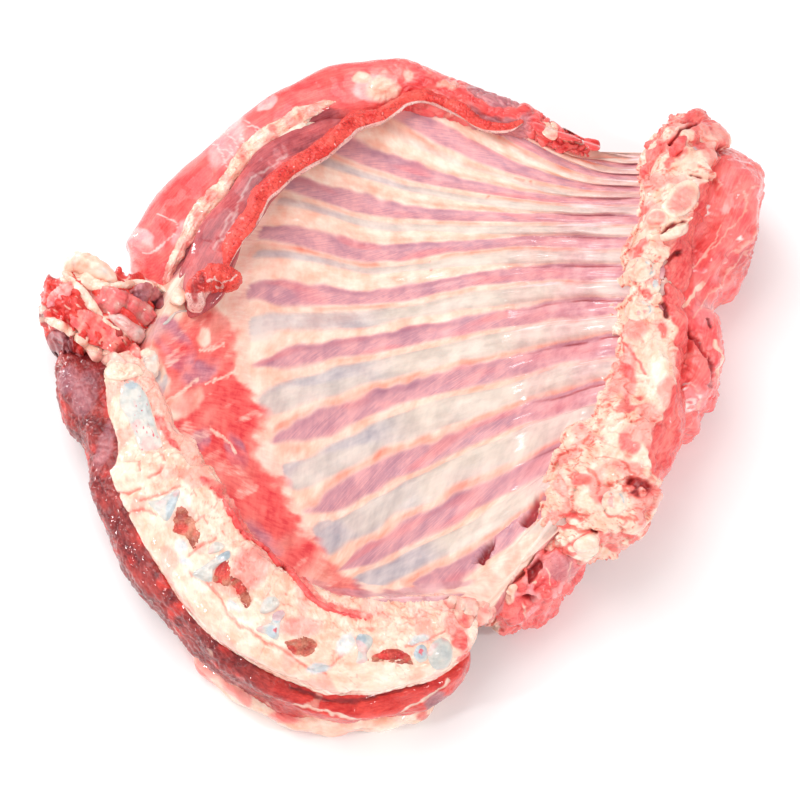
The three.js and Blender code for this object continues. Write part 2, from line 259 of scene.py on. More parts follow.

# %% Lamb fat
# Waxy and cream, with pink clouds and red scraps of meat. Light sinks into it, and water on it glosses. Its
# creases get a painted red-orange shade.
FAT_LAYERS = [
    (None, "#fab89f", "#ffdfcc", "cloud", 1), ("pale", "#fdd2ba", "#ffecdc", "cloud", 1),
    # the red-orange crease layer is painted shade
    ("pink", "#f08f86", "#fdb0a4", "cloud", 1), ("crease", "#dc4a40", "#f68373", "cloud", 1),
    ("gristle", "#c0c4c8", "#eae3de", "cloud", 1), ("meat", "#e04144", "#ff857c", "strand", 0.9),
    ("cut", "#7f1216", "#c03a38", "strand", 0.9)]
lamb_fat = tissue("lamb fat", {"cloud": (6, 4, 0), "fold": (4, 1.6, 35), "grit": (0.9, 0.7, 0),
                               "strand": (7, 1.1, 20)}, FAT_LAYERS,
                  [("cloud", 1.2), ("fold", 0.9), ("grit", 0.12)], rough=0.5, coat=1.0, glaze=0.05, glow=0.35)

# %% Muscle, whole and cut
# Whole muscle is bright red along its fibres, under patches of pale skin. Cut across, it is dark and grainy.
raw_muscle = tissue("raw muscle under its skin", {
    "cloud": (9, 6, 0), "fibre": (16, 0.9, 8), "grit": (1.0, 0.8, 0)}, [
        (None, "#f2565a", "#ff8a82", "fibre", 1), ("deep", "#d83136", "#f55f5a", "fibre", 0.95),
        ("skin", "#ef979c", "#fdc3be", "cloud", 1), ("mauve", "#a0606c", "#d68f92", "fibre", 0.95),
        ("wine", "#8a3540", "#c2595f", "fibre", 0.95), ("fat", "#f8b89f", "#ffddca", "cloud", 0.95),
        ("pale", "#f3d5cf", "#fdf1ec", "cloud", 1),
        ("cut", "#84141a", "#c02f32", "cloud", 0.95)],
    [("fibre", 0.3), ("cloud", 1.4), ("grit", 0.15)], rough=0.5, coat=1.0, glaze=0.05, glow=0.2)
dark_muscle = tissue("dark cut muscle", {
    "grit": (2.6, 1.2, 0), "fine": (0.9, 0.8, 0), "cloud": (8, 5, 0)}, [
        (None, "#700d16", "#b8403b", "grit", 1), ("bright", "#cc1815", "#f34a3f", "grit", 0.9),
        ("mauve", "#8e4652", "#c97c80", "cloud", 1), ("fat", "#f3bda8", "#ffe2d0", "cloud", 0.8),
        ("cut", "#650f16", "#a0262a", "cloud", 1)],
    [("grit", 0.9), ("fine", 0.35)], rough=0.45, coat=1.0, glaze=0.07)
skirt_muscle = tissue("cut edge of the skirt", {
    "grit": (2.0, 1.0, 30), "fine": (0.8, 0.7, 0), "cloud": (6, 4, 0)}, [
        (None, "#db1f1c", "#fd6052", "grit", 1), ("skin", "#f2b3ab", "#ffe2da", "cloud", 0.8),
        ("cut", "#8e0f14", "#ca2c2a", "cloud", 0.9)],
    [("grit", 1.0), ("fine", 0.4)], rough=0.45, coat=1.0, glaze=0.07)

# %% Cartilage and marrow
# Cartilage is smooth and bluish white, almost like glass. Sawn marrow bone is porous and red in a cream rim.
cartilage = tissue("wet cartilage", {"cloud": (5, 3.5, 0), "speck": (1.0, 0.8, 0)}, [
    (None, "#bdbdb8", "#dacfc5", "cloud", 1), ("blue", "#97a4ad", "#c2c9cd", "cloud", 1),
    ("fat", "#f8b89f", "#ffddca", "cloud", 1), ("pink", "#e48a8e", "#f3b9b4", "cloud", 1),
    ("blood", "#b83e4c", "#e0707a", "speck", 0.5)],
    [("cloud", 0.9)], rough=0.4, coat=1.0, glaze=0.06)
marrow = tissue("sawn marrow bone", {"grit": (1.2, 0.9, 0), "cloud": (5, 3.5, 0)}, [
    (None, "#9c4232", "#d98a70", "grit", 1), ("blood", "#ac1519", "#e8463f", "grit", 0.9),
    ("rim", "#f3bfa9", "#ffe0d0", "cloud", 1)],
    [("grit", 0.8)], rough=0.5, coat=0.7, glaze=0.1)
print("materials", [m.name for m in bpy.data.materials])

# %% [markdown]
# ## Uneven surfaces
# Nothing on meat is smooth at more than a few millimetres. Two kinds of noise give that: waves for slow
# swelling and folds, and rounded lumps with creases between them for fat and for the ends of muscle
# bundles. What is one of a kind, such as a vein or a cleft, is painted by its place in the picture instead.

# %% Waves, lumps and easing
def waves(points, size, seed=0):
    """Smooth noise of about -1 to 1, its lumps about size mm wide. size may differ by direction."""
    spots = (points / np.asarray(size) + 31.7 * seed).reshape(-1, 3).tolist()
    return np.array([noise.noise(spot) for spot in spots]).reshape(points.shape[:-1])


def ease(value, low, high):
    """0 up to low, 1 from high on, smooth between them. low may be the higher one."""
    part = np.clip((value - low) / (high - low), 0, 1)
    return part * part * (3 - 2 * part)


def billow(points, size, seed=0):
    """Rounded lumps about size mm wide: 1 on their tops, 0 in the creases between them."""
    size = np.asarray(size, float)
    drift = np.stack([waves(points, size * 1.4, seed + k) for k in (0.1, 0.2, 0.3)], axis=-1)
    bent = points + 0.6 * size * drift
    folds = [np.abs(waves(bent, size * 1.3, seed + k)) for k in (0.4, 0.5)]
    return 1 - (1 - np.clip(np.minimum(*folds) / 0.28, 0, 1)) ** 2


print("waves at one place", np.round(waves(np.ones((1, 3)), 5), 3), "where lumps are",
      np.round(billow(np.ones((1, 3)), 5), 3))


# %% Marks at places of the picture
def look(points, seed=0.0, wobble=1.2):
    """The points' places in the picture, shaken a little so that painted marks get natural edges."""
    across, down = picture_place(points)
    return across + wobble * waves(points, 4,
                                   seed + 0.6) * 2, down + wobble * waves(points, 4, seed + 0.7) * 2


def spots(shown, *places):
    """A soft mask of 1 in ellipses of the picture: middle across and down, half sizes, turn in degrees."""
    mask = np.zeros(shown[0].shape)
    for x, y, long, short, turn in places:
        c, s = math.cos(math.radians(turn)), math.sin(math.radians(turn))
        u = ((shown[0] - x) * c - (shown[1] - y) * s) / long
        v = ((shown[0] - x) * s + (shown[1] - y) * c) / short
        mask = np.maximum(mask, ease(np.hypot(u, v), 1.3, 0.7))
    return mask


def flaps(points, size, seed=0):
    """Ragged sheets that overlap like shingles: 1 on the upper one, 0 on the lower one, a step between."""
    return ease(waves(points, size, seed) + 0.25 * waves(points, np.asarray(size) / 3, seed + 0.5), -0.05,
                0.07)


def strokes(shown, width, *lines):
    """A soft mask of 1 on lines through corners of the picture, width pixels wide."""
    near = np.full(shown[0].shape, 1e9)
    for line in lines:
        for (x0, y0), (x1, y1) in zip(line, line[1:]):
            run, drop = x1 - x0, y1 - y0
            t = np.clip(((shown[0] - x0) * run + (shown[1] - y0) * drop) / (run * run + drop * drop), 0, 1)
            near = np.minimum(near, np.hypot(shown[0] - x0 - t * run, shown[1] - y0 - t * drop))
    return ease(near, 0.8 * width, 0.2 * width)


print("a stroke is", strokes((np.zeros(1), np.zeros(1)), 2, [(-1, 0), (1, 0)])[0], "on its own line")

# %% [markdown]
# ## From rows of stations to skin
# Long lumps of meat are lofted: a smooth curve runs through a few measured stations, each with a width and
# a height, and round-cornered rings stand along it. The same rule with the same stations made the packed
# solids, so the fine skins below lie on them.

# %% Curves through rows
def along(rows, place, pick=None):
    """A smooth curve through rows; place runs from 0 to 1. pick takes one column of the rows for each one."""
    rows, place = np.asarray(rows, float), np.clip(place, 0, 1)
    at = place * (len(rows) - 1)
    i = np.minimum(at.astype(int), len(rows) - 2)
    padded = np.concatenate([[2 * rows[0] - rows[1]], rows, [2 * rows[-1] - rows[-2]]])
    a, b, c, d = (padded[i + k] if pick is None else padded[i + k, pick] for k in range(4))
    t = (at - i).reshape(at.shape + (1,) * (a.ndim - at.ndim))
    return b + 0.5 * t * (c - a + t * (2 * a - 5 * b + 4 * c - d + t * (3 * (b - c) + d - a)))


print("half way from 0 to 2 the curve is at", along([[0.0], [1.0], [2.0]], np.array([0.5]))[0, 0])

# %% Rings of a long lump
Lump = namedtuple("Lump", "points flow place turn")


def even_angles(count, box):
    """Angles at which points lie evenly round a round-cornered box."""
    fine = np.linspace(-math.pi / 2, 1.5 * math.pi, 2000)
    wave = [np.sign(f(fine)) * np.abs(f(fine)) ** box for f in (np.cos, np.sin)]
    length = np.concatenate([[0], np.cumsum(np.hypot(np.diff(wave[0]), np.diff(wave[1])))])
    return np.interp(np.arange(count) / count * length[-1], length, fine)


def run_length(line):
    """How far along a line of points each one lies."""
    return np.concatenate([[0], np.cumsum(np.linalg.norm(np.diff(line, axis=0), axis=1))])


def lump(stations, steps, sides, box, tilt=0, rough=0.03):
    """Rings of a long lump. flow holds each point's mm along it, sideways and up, for the fibres."""
    even = np.linspace(0, 1, steps + 2)[1:-1]
    t = 0.7 * even + 0.3 * (0.5 - 0.5 * np.cos(math.pi * even))
    row = along(stations, t)
    forward = (along(stations, t + 0.01) - along(stations, t - 0.01))[:, :3] * [1, 1, 0]
    forward /= np.linalg.norm(forward, axis=1, keepdims=True)
    out = np.stack([forward[:, 1], -forward[:, 0], 0 * t], axis=1)[:, None]
    taper = np.sqrt(1 - np.abs(2 * t - 1) ** 8)[:, None]
    angle = even_angles(sides, box)[None]
    uneven = 1 + rough * (np.sin(5 * angle + 17 * t[:, None]) + np.sin(3 * angle - 41 * t[:, None] + 1))
    side, up = (np.sign(f(angle)) * np.abs(f(angle)) ** box * taper * uneven * row[:, k, None] / 2
                for f, k in ((np.cos, 3), (np.sin, 4)))
    lean = math.radians(tilt)
    points = row[:, None, :3] + out * (side * math.cos(lean) - up * math.sin(lean))[..., None]
    points[..., 2] += side * math.sin(lean) + up * math.cos(lean)
    run = run_length(row[:, :3])[:, None] + 0 * side
    return Lump(points, np.stack([run, side, up], axis=-1), t[:, None] + 0 * side, angle + 0 * side)


def normals(points):
    """The outward direction at each point of closed rings."""
    around = np.roll(points, -1, axis=1) - np.roll(points, 1, axis=1)
    out = np.cross(np.gradient(points, axis=0), around)
    out /= np.linalg.norm(out, axis=-1, keepdims=True) + 1e-12
    from_middle = points - points.mean(axis=1, keepdims=True)
    return out * np.sign((out * from_middle).sum())


def swell(points, height):
    """The rings pushed out by height in mm, and never through the table."""
    moved = points + normals(points) * np.asarray(height)[..., None]
    moved[..., 2] = np.maximum(moved[..., 2], 0.0)
    return moved


test = lump([[0, 0, 9, 9, 9], [20, 0, 9, 9, 9], [40, 0, 9, 9, 9]], 30, 24, box=1)
print("a test lump 9 mm high reaches", round(float(np.ptp(test.points[..., 2])), 1), "mm")

# %% From rings to a piece
faces_made = {}


def rings_to_faces(count, sides):
    """Four-sided faces between rings, and the three-sided ones that close both ends on two more points."""
    i, j = np.meshgrid(np.arange(count - 1), np.arange(sides), indexing="ij")
    a, b = i * sides + j, i * sides + (j + 1) % sides
    quads = np.stack([a, b, b + sides, a + sides], axis=-1).reshape(-1, 4)
    first, start = count * sides, (count - 1) * sides
    caps = [(first, (k + 1) % sides, k) for k in range(sides)]
    return quads, caps + [(first + 1, start + k, start + (k + 1) % sides) for k in range(sides)]


def piece(name, rings, flow, masks, material, nodes):
    """A closed skin over rings in mm, with its masks stored on it, that stands for the named nodes."""
    ends = rings[[0, -1]].mean(axis=1)
    points = (np.concatenate([rings.reshape(-1, 3), ends]) - MIDDLE) * MM
    quads, caps = rings_to_faces(*rings.shape[:2])
    out = np.cross(points[quads[:, 1]] - points[quads[:, 0]], points[quads[:, 3]] - points[quads[:, 0]])
    middle = points[quads].mean(axis=1)
    if (out * (middle - points.mean(axis=0))).sum() < 0:  # the closed skin's volume has to come out positive
        quads = quads[:, ::-1]
        caps = [face[::-1] for face in caps]
    mesh = bpy.data.meshes.new(name)
    mesh.from_pydata(points.tolist(), [], quads.tolist() + caps)
    mesh.shade_smooth()
    for label, values in masks.items():
        values = np.broadcast_to(values, rings.shape[:2])
        flat = np.concatenate([values.ravel(), values[[0, -1]].mean(axis=1)])
        mesh.attributes.new(label, "FLOAT", "POINT").data.foreach_set("value", flat.astype(np.float32))
    flat = np.concatenate([flow.reshape(-1, 3), flow[[0, -1]].mean(axis=1)]).astype(np.float32)
    mesh.attributes.new("flow", "FLOAT_VECTOR", "POINT").data.foreach_set("vector", flat.ravel())
    mesh.materials.append(material)
    made = bpy.data.objects.new(name, mesh)
    scene.collection.objects.link(made)
    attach(made, "root")
    if nodes:
        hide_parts(*nodes)
    faces_made[name] = len(mesh.polygons)


print("a ring of 24 points and its neighbour share", len(rings_to_faces(2, 24)[0]), "faces")


# %% [markdown]
# ## Small things on a surface
# Sawn bones, lobes of fat and torn strings lie on or in a larger lump. Their outlines are read off the
# picture. A line of sight through each of their corners is stopped by the lump's skin, which gives the
# corner's true place.

# %% Lines of sight
def ground(*skins):
    """One surface from the rings of several skins, for lines of sight to stop at."""
    points, faces = [], []
    for rings in skins:
        faces += (rings_to_faces(*rings.shape[:2])[0] + len(points)).tolist()
        points += rings.reshape(-1, 3).tolist()
    return BVHTree.FromPolygons(points, faces)


def sight(surface, across, down):
    """The places in mm where the surface shows at these spots of the picture."""
    eye = TARGET + TOWARD * DISTANCE
    right = np.array([1.0, 0.0, 0.0])
    found = []
    for x, y in zip(np.ravel(across), np.ravel(down)):
        beam = TARGET + (right * (x - 400) + UPWARD * (400 - y)) * MM_A_PIXEL - eye
        hit = surface.ray_cast(Vector(eye), Vector(beam))[0]
        found.append(np.full(3, np.nan) if hit is None else np.array(hit))
    found = np.array(found)
    missed = np.isnan(found[:, 0])
    for k in np.flatnonzero(missed):  # a line that passes the surface stops beside its nearest neighbour
        found[k] = found[~missed][np.abs(np.flatnonzero(~missed) - k).argmin()]
    return found.reshape(np.shape(across) + (3,))


over_test = ground(test.points)
print("the test lump is seen at a height of", np.round(sight(over_test, [430], [420])[0, 2], 1), "mm")


# %% Plugs
def plug(surface, corners, dome, bowl=0.0, deep=3.0, sides=64, rings=16):
    """A plug let into a surface inside corners of the picture. dome is how far its middle stands out, bowl how
    far that is hollowed again, in mm. place is 0 in its middle, 1 at its rim and 2 in the middle below."""
    corners = np.asarray(corners, float)
    closed = np.concatenate([corners[-1:], corners, corners[:2]])
    loop = along(closed, (1 + np.arange(sides) / sides * len(corners)) / (len(closed) - 1))
    middle = loop.mean(axis=0)
    share = np.linspace(0.04, 1, rings)[:, None]
    spot = middle + share[..., None] * (loop - middle)
    top = sight(surface, spot[..., 0], spot[..., 1])
    under = top[-2::-1] - TOWARD * deep * np.sqrt(1 - share[-2::-1, :, None] ** 2)
    rise = dome * (1 - share ** 4) - bowl * (1 - share ** 2) - 0.25 * share ** 8
    points = np.concatenate([top + TOWARD * rise[..., None], under])
    place = np.concatenate([share, 2 - share[-2::-1]]) + 0 * points[..., 0]
    offset = (np.concatenate([spot, spot[-2::-1]]) - middle) * MM_A_PIXEL
    return Lump(points, np.concatenate([offset, points[..., 2:]], axis=-1), place, 0 * place)


# %% Cords
def cord(surface, rows, steps, sides, lift=0.0):
    """A cord along a surface. rows: across and down in the picture, then width and height in mm."""
    t = np.linspace(0, 1, steps)
    row = along(rows, t)
    spine = sight(surface, row[:, 0], row[:, 1])
    for _ in range(6):  # the surface is bumpy, but the cord bridges its dips
        spine[1:-1] = (spine[:-2] + 2 * spine[1:-1] + spine[2:]) / 4
    forward = np.gradient(spine, axis=0)
    forward /= np.linalg.norm(forward, axis=1, keepdims=True)
    side = np.cross(forward, TOWARD)
    side /= np.linalg.norm(side, axis=1, keepdims=True)
    up = np.cross(side, forward)
    angle = np.linspace(-math.pi / 2, 1.5 * math.pi, sides, endpoint=False)[None]
    taper = np.sqrt(1 - np.abs(2 * t - 1) ** 6 * 0.98)[:, None]
    wide, high = np.cos(angle) * taper * row[:, 2:3] / 2, np.sin(angle) * taper * row[:, 3:4] / 2
    points = spine[:, None] + side[:, None] * wide[..., None] + up[:, None] * (high + lift)[..., None]
    run = run_length(spine)[:, None] + 0 * wide
    return Lump(points, np.stack([run, wide, high], axis=-1), t[:, None] + 0 * wide, angle + 0 * wide)


# %% [markdown]
# ## The rib wall
# Eight of the thirteen ribs are measured: five points each, from the backbone over the hollow to the
# breastbone. A surface through these paths is the cage, and any point on it has two numbers: how far across
# it lies, 0 at the backbone and 1 at the breastbone, and its rib number. Everything on the wall follows
# from those two. Bone stands proud at each whole number, a soft band of fat lies below it, and the muscle
# between two ribs comes next.

# %% Measured ribs
RIBS = [1, 2, 3, 5, 7, 9, 11, 13]
RIB_PATHS = np.array([
    [[85, -69, 66], [69, -83, 50], [55, -98, 46], [46, -111, 52], [39, -119, 60]],
    [[88, -52, 68], [55, -63, 36], [18, -82, 30], [-19, -103, 38], [-33, -119, 60]],
    [[105, -19, 70], [61, -19, 26], [5, -44, 20], [-42, -78, 32], [-70, -102, 60]],
    [[115, 28, 74], [55, 45, 16], [-11, 31, 12], [-75, 4, 27], [-110, -27, 60]],
    [[119, 67, 75], [55, 95, 19], [-16, 87, 14], [-80, 88, 29], [-125, 38, 52]],
    [[125, 97, 72], [72, 121, 30], [6, 134, 24], [-50, 147, 34], [-64, 154, 40]],
    [[130, 116, 66], [99, 134, 40], [61, 155, 34], [18, 183, 38], [10, 190, 41]],
    [[136, 135, 58], [121, 142, 46], [102, 152, 40], [84, 166, 38], [79, 170, 40]]], float)
OVER_HOLLOW = np.array([10.0, 30.0, 170.0])
WALL, THIN_WALL, RIB_RELIEF = 14.0, 9.0, 2.4


def cage(across, rib):
    """The smooth inner face at pairs of numbers."""
    shape = np.broadcast(across, rib).shape
    across, rib = (np.broadcast_to(v, shape).ravel() for v in (across, rib))
    paths = np.moveaxis(along(np.swapaxes(RIB_PATHS, 0, 1), across), 1, 0)
    place = np.interp(rib, RIBS, np.linspace(0, 1, len(RIBS)))
    return along(paths, place, pick=np.arange(len(across))).reshape(shape + (3,))


def cage_face(across, rib):
    """The same face, which runs on straight past its edges."""
    inside = [np.clip(across, 0, 1), np.clip(rib, 1, 13)]
    step = 0.05
    edge = cage(*inside)
    inward = cage(inside[0] + step * np.sign(inside[0] - across), inside[1] + step * np.sign(inside[1] - rib))
    past = np.maximum(np.abs(across - inside[0]), np.abs(rib - inside[1]))
    return edge + (edge - inward) / step * past[..., None]


def outward(points):
    """The way out through the wall, away from one point above the hollow."""
    way = points - OVER_HOLLOW
    return way / np.linalg.norm(way, axis=-1, keepdims=True)


# %% Lay out the inner face
fine = 1
rib, across = np.meshgrid(np.linspace(0.95, 13.25, 340 // fine), np.linspace(-0.05, 1.03, 420 // fine),
                          indexing="ij")
face = cage_face(across, rib)
face[..., 1] -= 9 * ease(rib, 11.6, 13.2) * ease(across, 0.25, 0.7)  # the last ribs bend down under the flap
rib_run = np.concatenate([0 * face[:, :1, 0],
                          np.cumsum(np.linalg.norm(np.diff(face, axis=1), axis=-1), axis=1)], axis=1)
rib_place = np.stack([rib_run, rib * 22, 0 * rib], axis=-1)
wander = waves(face, (30, 12, 30), 1) * 0.07 + waves(face, 9, 2) * 0.02
below = 1 - (rib + wander) % 1  # 0 just below a rib, 1 at the next one down
off_rib = np.minimum(below, 1 - below)
to_breast = ease(across, 0.70, 0.80)
by_spine = ease(across, 0.30, 0.08)
print("inner face", face.shape[:2], "points")

# %% Ribs, muscle and wrinkles as relief in mm
relief = RIB_RELIEF * ease(off_rib, 0.32, 0.08) * (1 - 0.75 * to_breast) * (1 + 0.7 * by_spine)
relief += 0.6 * np.exp(-((below - 0.5) / 0.12) ** 2) * (1 - to_breast)  # the muscle swells a little
relief -= (0.6 * np.exp(-((below - 0.69) / 0.03) ** 2) * (1 - to_breast)
           * (0.6 + waves(rib_place, (30, 22, 1), 3)))
relief += 0.5 * waves(face, 16, 4) + 0.08 * waves(rib_place, (14, 2.2, 1), 5)
relief += by_spine * (0.5 * waves(rib_place, (40, 2.6, 1), 6) + 0.2 * waves(rib_place, (20, 1.2, 1), 7))
wrinkled = ease(across, 0.3, 0.45) * ease(across, 0.78, 0.7) * ease(rib, 6.2, 7.2) * ease(rib, 10.2, 9.3)
wrinkled *= np.exp(-((below - 0.26) / 0.1) ** 2) * ease(waves(face, 20, 8), -0.2, 0.3)
relief += wrinkled * 0.35 * np.sin(rib_run / 3.1 * 2 + 4 * waves(face, 10, 9))
shown = look(face, 1)
slit = spots(shown, (486, 552, 15, 4.5, 54), (532, 514, 15, 4.5, 48), (373, 606, 14, 3, 0))
fold = strokes(shown, 4, [(374, 600), (410, 596), (440, 600), (466, 594)],
               [(497, 538), (511, 530), (524, 523)], [(478, 566), (492, 545), (520, 520), (545, 498)])
relief += 1.4 * fold - 5 * slit
relief = relief * ease(across, -0.03, 0.05) - 5 * ease(across, 0.03, -0.05)  # it dives under the backbone
relief -= (3 + 2 * waves(face, 8, 34)) * ease(rib, 1.12, 0.96)  # and its front edge is torn round
print("relief from", round(float(relief.min()), 2), "to", round(float(relief.max()), 2), "mm")

# %% Close it with the outer face
inner = face - outward(face) * relief[..., None]
back_rib, back_across = np.meshgrid(rib[:, 0], np.linspace(1.03, -0.05, 50), indexing="ij")
back_face = cage_face(back_across, back_rib)
back_face[..., 1] -= 9 * ease(back_rib, 11.6, 13.2) * ease(back_across, 0.25, 0.7)
thick = WALL - (WALL - THIN_WALL) * (ease(back_rib, 8, 13) + 1 - ease(back_rib, 1, 3))
thick += 0.8 * waves(back_face, 18, 10) + 0.5 * billow(back_face, 9, 11)
outer = back_face + outward(back_face) * thick[..., None]
outer[..., 2] = np.maximum(outer[..., 2], 0)
wall = np.concatenate([inner, outer], axis=1)
outer_flow = np.stack([back_across * 250, back_rib * 22, 0 * back_rib], axis=-1)
outer_meat = ease(waves(back_face, (26, 14, 20), 12), -0.05, 0.3)
print("wall", wall.shape[:2], "points")


def on_wall(values, behind=0.0):
    """A mask for the whole wall from one for its inner face and one for its outer face."""
    return np.concatenate([values, np.broadcast_to(behind, outer.shape[:2])], axis=1)


# %% [markdown]
# ## Colours of the rib wall
# Between two ribs the skin lies over muscle, which is mauve in the hollow's shade and rosy by the backbone.
# Over a rib it lies on bone or fat: grey blue, cream, or an orange line along the rib's edges. At the
# breastbone end a ragged patch of bare red muscle lies over all of it. So each band is a mask made from the
# place between two ribs, and waves in the wall's own numbers make its edges wander.

# %% Muscle between the ribs
highest = ease(rib, 9.2, 10.4)  # the last ribs are thin and hardly show through
drift = waves(rib_place, (34, 22, 1), 13)
own = np.sin(7.3 * np.round(rib + wander + 0.5))  # from -1 to 1, another one for each gap between ribs
taper = (0.03 + 0.13 * ease(rib, 7.0, 5.5) + 0.02 * own) * ease(across, 0.63 + 0.04 * own, 0.755) ** 1.5
start = (0.32 + 0.03 * drift - 0.05 * by_spine - 0.05 * highest + taper
         + 0.04 * waves(rib_place, (7, 30, 1), 14))
end = 0.68 + 0.03 * waves(rib_place, (26, 30, 1), 15) + 0.03 * highest - taper
edge = 0.075 + 0.03 * waves(rib_place, (20, 22, 1), 28)
muscle = ease(below, start - edge, start + edge) * ease(below, end + edge, end - edge)
muscle *= ease(across + 0.015 * waves(rib_place, (9, 3, 1), 31) - 0.12 * ease(rib, 5.8, 8.0), 0.775, 0.735)
# painted shade: the muscle is darker in patches just under the rib above
deep = (muscle * ease(below, start + 0.24, start + 0.05) * ease(waves(rib_place, (28, 22, 1), 29), -0.4, 0.2)
        * 0.6)
# painted shade under the rib above, in a band by the spine
deep = np.maximum(deep, 0.9 * by_spine * np.exp(-((below - 0.3 - 0.05 * drift) / 0.07) ** 2))
# painted shade: thin dark red lines under each rib by the spine, laid in the cut layer
painted_shade_line = (by_spine * np.exp(-((below - 0.32 - 0.06 * drift) / 0.03) ** 2)
             * ease(waves(rib_place, (20, 22, 1), 36), -0.4, 0.0))
rosy = muscle * ease(waves(rib_place, (34, 6, 1), 30), 0.0, 0.45) * 0.55
rosy = np.maximum(rosy, 0.85 * by_spine * np.exp(-((below - 0.46 - 0.08 * drift) / 0.16) ** 2))
# painted highlight: pale streaks on a rib's upper slope by the spine, where the wet skin shines
sheen = ease(across, 0.32, 0.12) * np.exp(-((below - 0.8 - 0.06 * drift) / 0.09) ** 2)
sheen *= ease(waves(rib_place, (30, 1.2, 1),
                    37), -0.2, 0.25) * ease(waves(rib_place, (40, 22, 1), 38), -0.3, 0.1)
print("muscle covers", round(float(muscle.mean()), 2), "of the inner face")

# %% Bone and fat over the ribs
upper = ease(rib, 5.4, 6.6) * ease(across, 0.2, 0.42)  # there only the shaded upper side of a rib shows grey
off_grey = np.abs((below + 0.5) % 1 - 0.5 - 0.02 + 0.13 * upper)
bone = ease(off_grey, 0.24 - 0.1 * upper, 0.12 - 0.09 * upper) * (1 - 0.65 * highest) * (1 - 0.3 * by_spine)
bone *= (0.9 + 0.35 * waves(rib_place, (40, 7, 1), 16)) * (1 - 0.25 * upper)
bone *= ease(across + 0.5 * (off_rib - 0.02) ** 2, 0.775, 0.75)
warm = np.clip(bone * 1.2, 0, 1) * np.maximum(ease(across, 0.58, 0.42),
                                              0.6 * ease(waves(rib_place, (50, 10, 1), 17), 0, 0.3))
joint = ease(across + 0.012 * waves(face, 5, 18), 0.74, 0.765) * ease(across, 0.84, 0.79)
# orange, and wide between the lower ribs
under_bone = np.exp(-((below - start + 0.05) / 0.06) ** 2) * ease(rib, 6.0, 4.5)
over_bone = np.exp(-((below - end - 0.06) / 0.05) ** 2) * ease(waves(rib_place, (26, 22, 1), 19), -0.35, 0.2)
over_bone *= 0.25 + 0.6 * ease(rib, 5.0, 6.5)
line = np.maximum(0.9 * under_bone, over_bone) + 0.3 * ease(waves(rib_place, (36, 5, 1), 21), 0.15, 0.5)
line *= ease(across, 0.79, 0.72) * (0.75 + 0.6 * waves(rib_place, (18, 9, 1), 20))
chest_fat = spots(shown, (508, 568, 48, 12, 42), (452, 596, 32, 7, 10)) * (1 - slit)
bone, line, muscle = (mask * (1 - 0.9 * chest_fat) for mask in (bone, line, muscle))
marks = strokes(shown, 2.4, [(430, 262), (431, 271)], [(516, 178), (524, 180)], [(531, 181), (533, 184)],
                [(486, 199), (489, 196)])
line = np.maximum(line, marks)
print("bone shows through", round(float(bone.mean()), 2), "of it")

# %% The bare red patch
border = np.interp(shown[1], [300, 330, 370, 400, 430, 455, 480, 520, 545, 572, 590, 604],
                   [205, 236, 243, 256, 268, 262, 280, 300, 318, 345, 358, 372])
fray = 12 * waves(face, 14, 22) + 8 * waves(face, (9, 4, 5), 23) + 2 * waves(rib_place, (14, 1.5, 1), 27)
patch = ease(shown[0] - border + 1.3 * fray, 13,
             -17) * ease(rib, 1.2, 1.7) * ease(rib, 7.2, 6.6) * ease(across, 0.7, 0.76)
patch *= 0.85 + 0.5 * waves(rib_place, (26, 9, 1), 35)
cream = spots(shown, (184, 404, 22, 12, 40), (158, 372, 8, 22, 20), (166, 440, 4, 14, 40),
              (150, 356, 9, 10, 0), (176, 302, 12, 7, 10), (204, 338, 6, 10, 0))
patch *= 1 - cream * (0.7 + 0.6 * waves(face, 11, 24))
mauve = spots(shown, (178, 350, 16, 24, 20), (200, 372, 22, 12, 30), (236, 452, 10, 20, 20),
              (200, 440, 10, 12, -45), (262, 540, 26, 12, -42), (318, 590, 34, 9, -18), (356, 594, 22, 7, -5),
              (164, 330, 14, 16, 0))
mauve *= 0.65 + 0.8 * waves(face, (18, 8, 8), 33)
feather = patch * ease(waves(rib_place, (22, 3, 1), 25), 0.0, 0.5) * 0.45
feather = np.maximum(feather, strokes(shown, 4, [(166, 402), (182, 392), (197, 379)],
                                      [(206, 384), (230, 374), (246, 362)],
                                      [(210, 430), (226, 440), (236, 452)], [(200, 352), (222, 346)]) * 0.7)
print("the red patch covers", round(float(patch.mean()), 2), "of it")

# %% Painted sheen and shade, and the whole wall
blue = spots(shown, (158, 395, 4, 24, -25), (155, 380, 4, 12, -20), (322, 530, 12, 8, 30),
             (364, 582, 14, 6, 20))
# painted sheen and shade: a lilac veil over the skin, strongest by the spine, and in two long spots
haze = by_spine * (0.3 + 0.25 * ease(off_rib, 0.15, 0.35)) + 0.08 + 0.25 * waves(face, 22, 26)
haze = np.clip(haze * (1 - 0.5 * line), 0, 1) * (1 - 0.8 * patch)
haze = np.maximum(haze, spots(shown, (432, 106, 36, 12, -8), (420, 592, 60, 7, 8)) * 0.8) * (1 - chest_fat)
piece("rib_wall_skin", wall, np.concatenate([rib_place, outer_flow], axis=1),
      {"muscle": on_wall(muscle, outer_meat), "deep": on_wall(deep),
       "rosy": on_wall(rosy), "bone": on_wall(np.maximum(bone, 0.8 * blue)), "warm": on_wall(warm),
       "line": on_wall(line), "patch": on_wall(patch, 0.55 * outer_meat), "mauve": on_wall(mauve * 0.9),
       "feather": on_wall(np.maximum(np.maximum(feather, chest_fat), 0.7 * joint * (1 - patch))),
       "haze": on_wall(haze, 0.1), "sheen": on_wall(0.85 * sheen),
       "cut": on_wall(np.maximum(slit, 0.75 * painted_shade_line))}, pleura, ["rib_wall"])
print("rib wall faces", faces_made["rib_wall_skin"])

# %% [markdown]
# ## The breastbone band
# The breastbone of a lamb is a row of small bones joined by cartilage in a thick bed of fat. The saw halves
# it, so its flat top shows cream fat, bluish cartilage and red marrow bone. The upper part lies lower
# behind a blunt step, and a ragged strip of red muscle hangs on the inner edge.

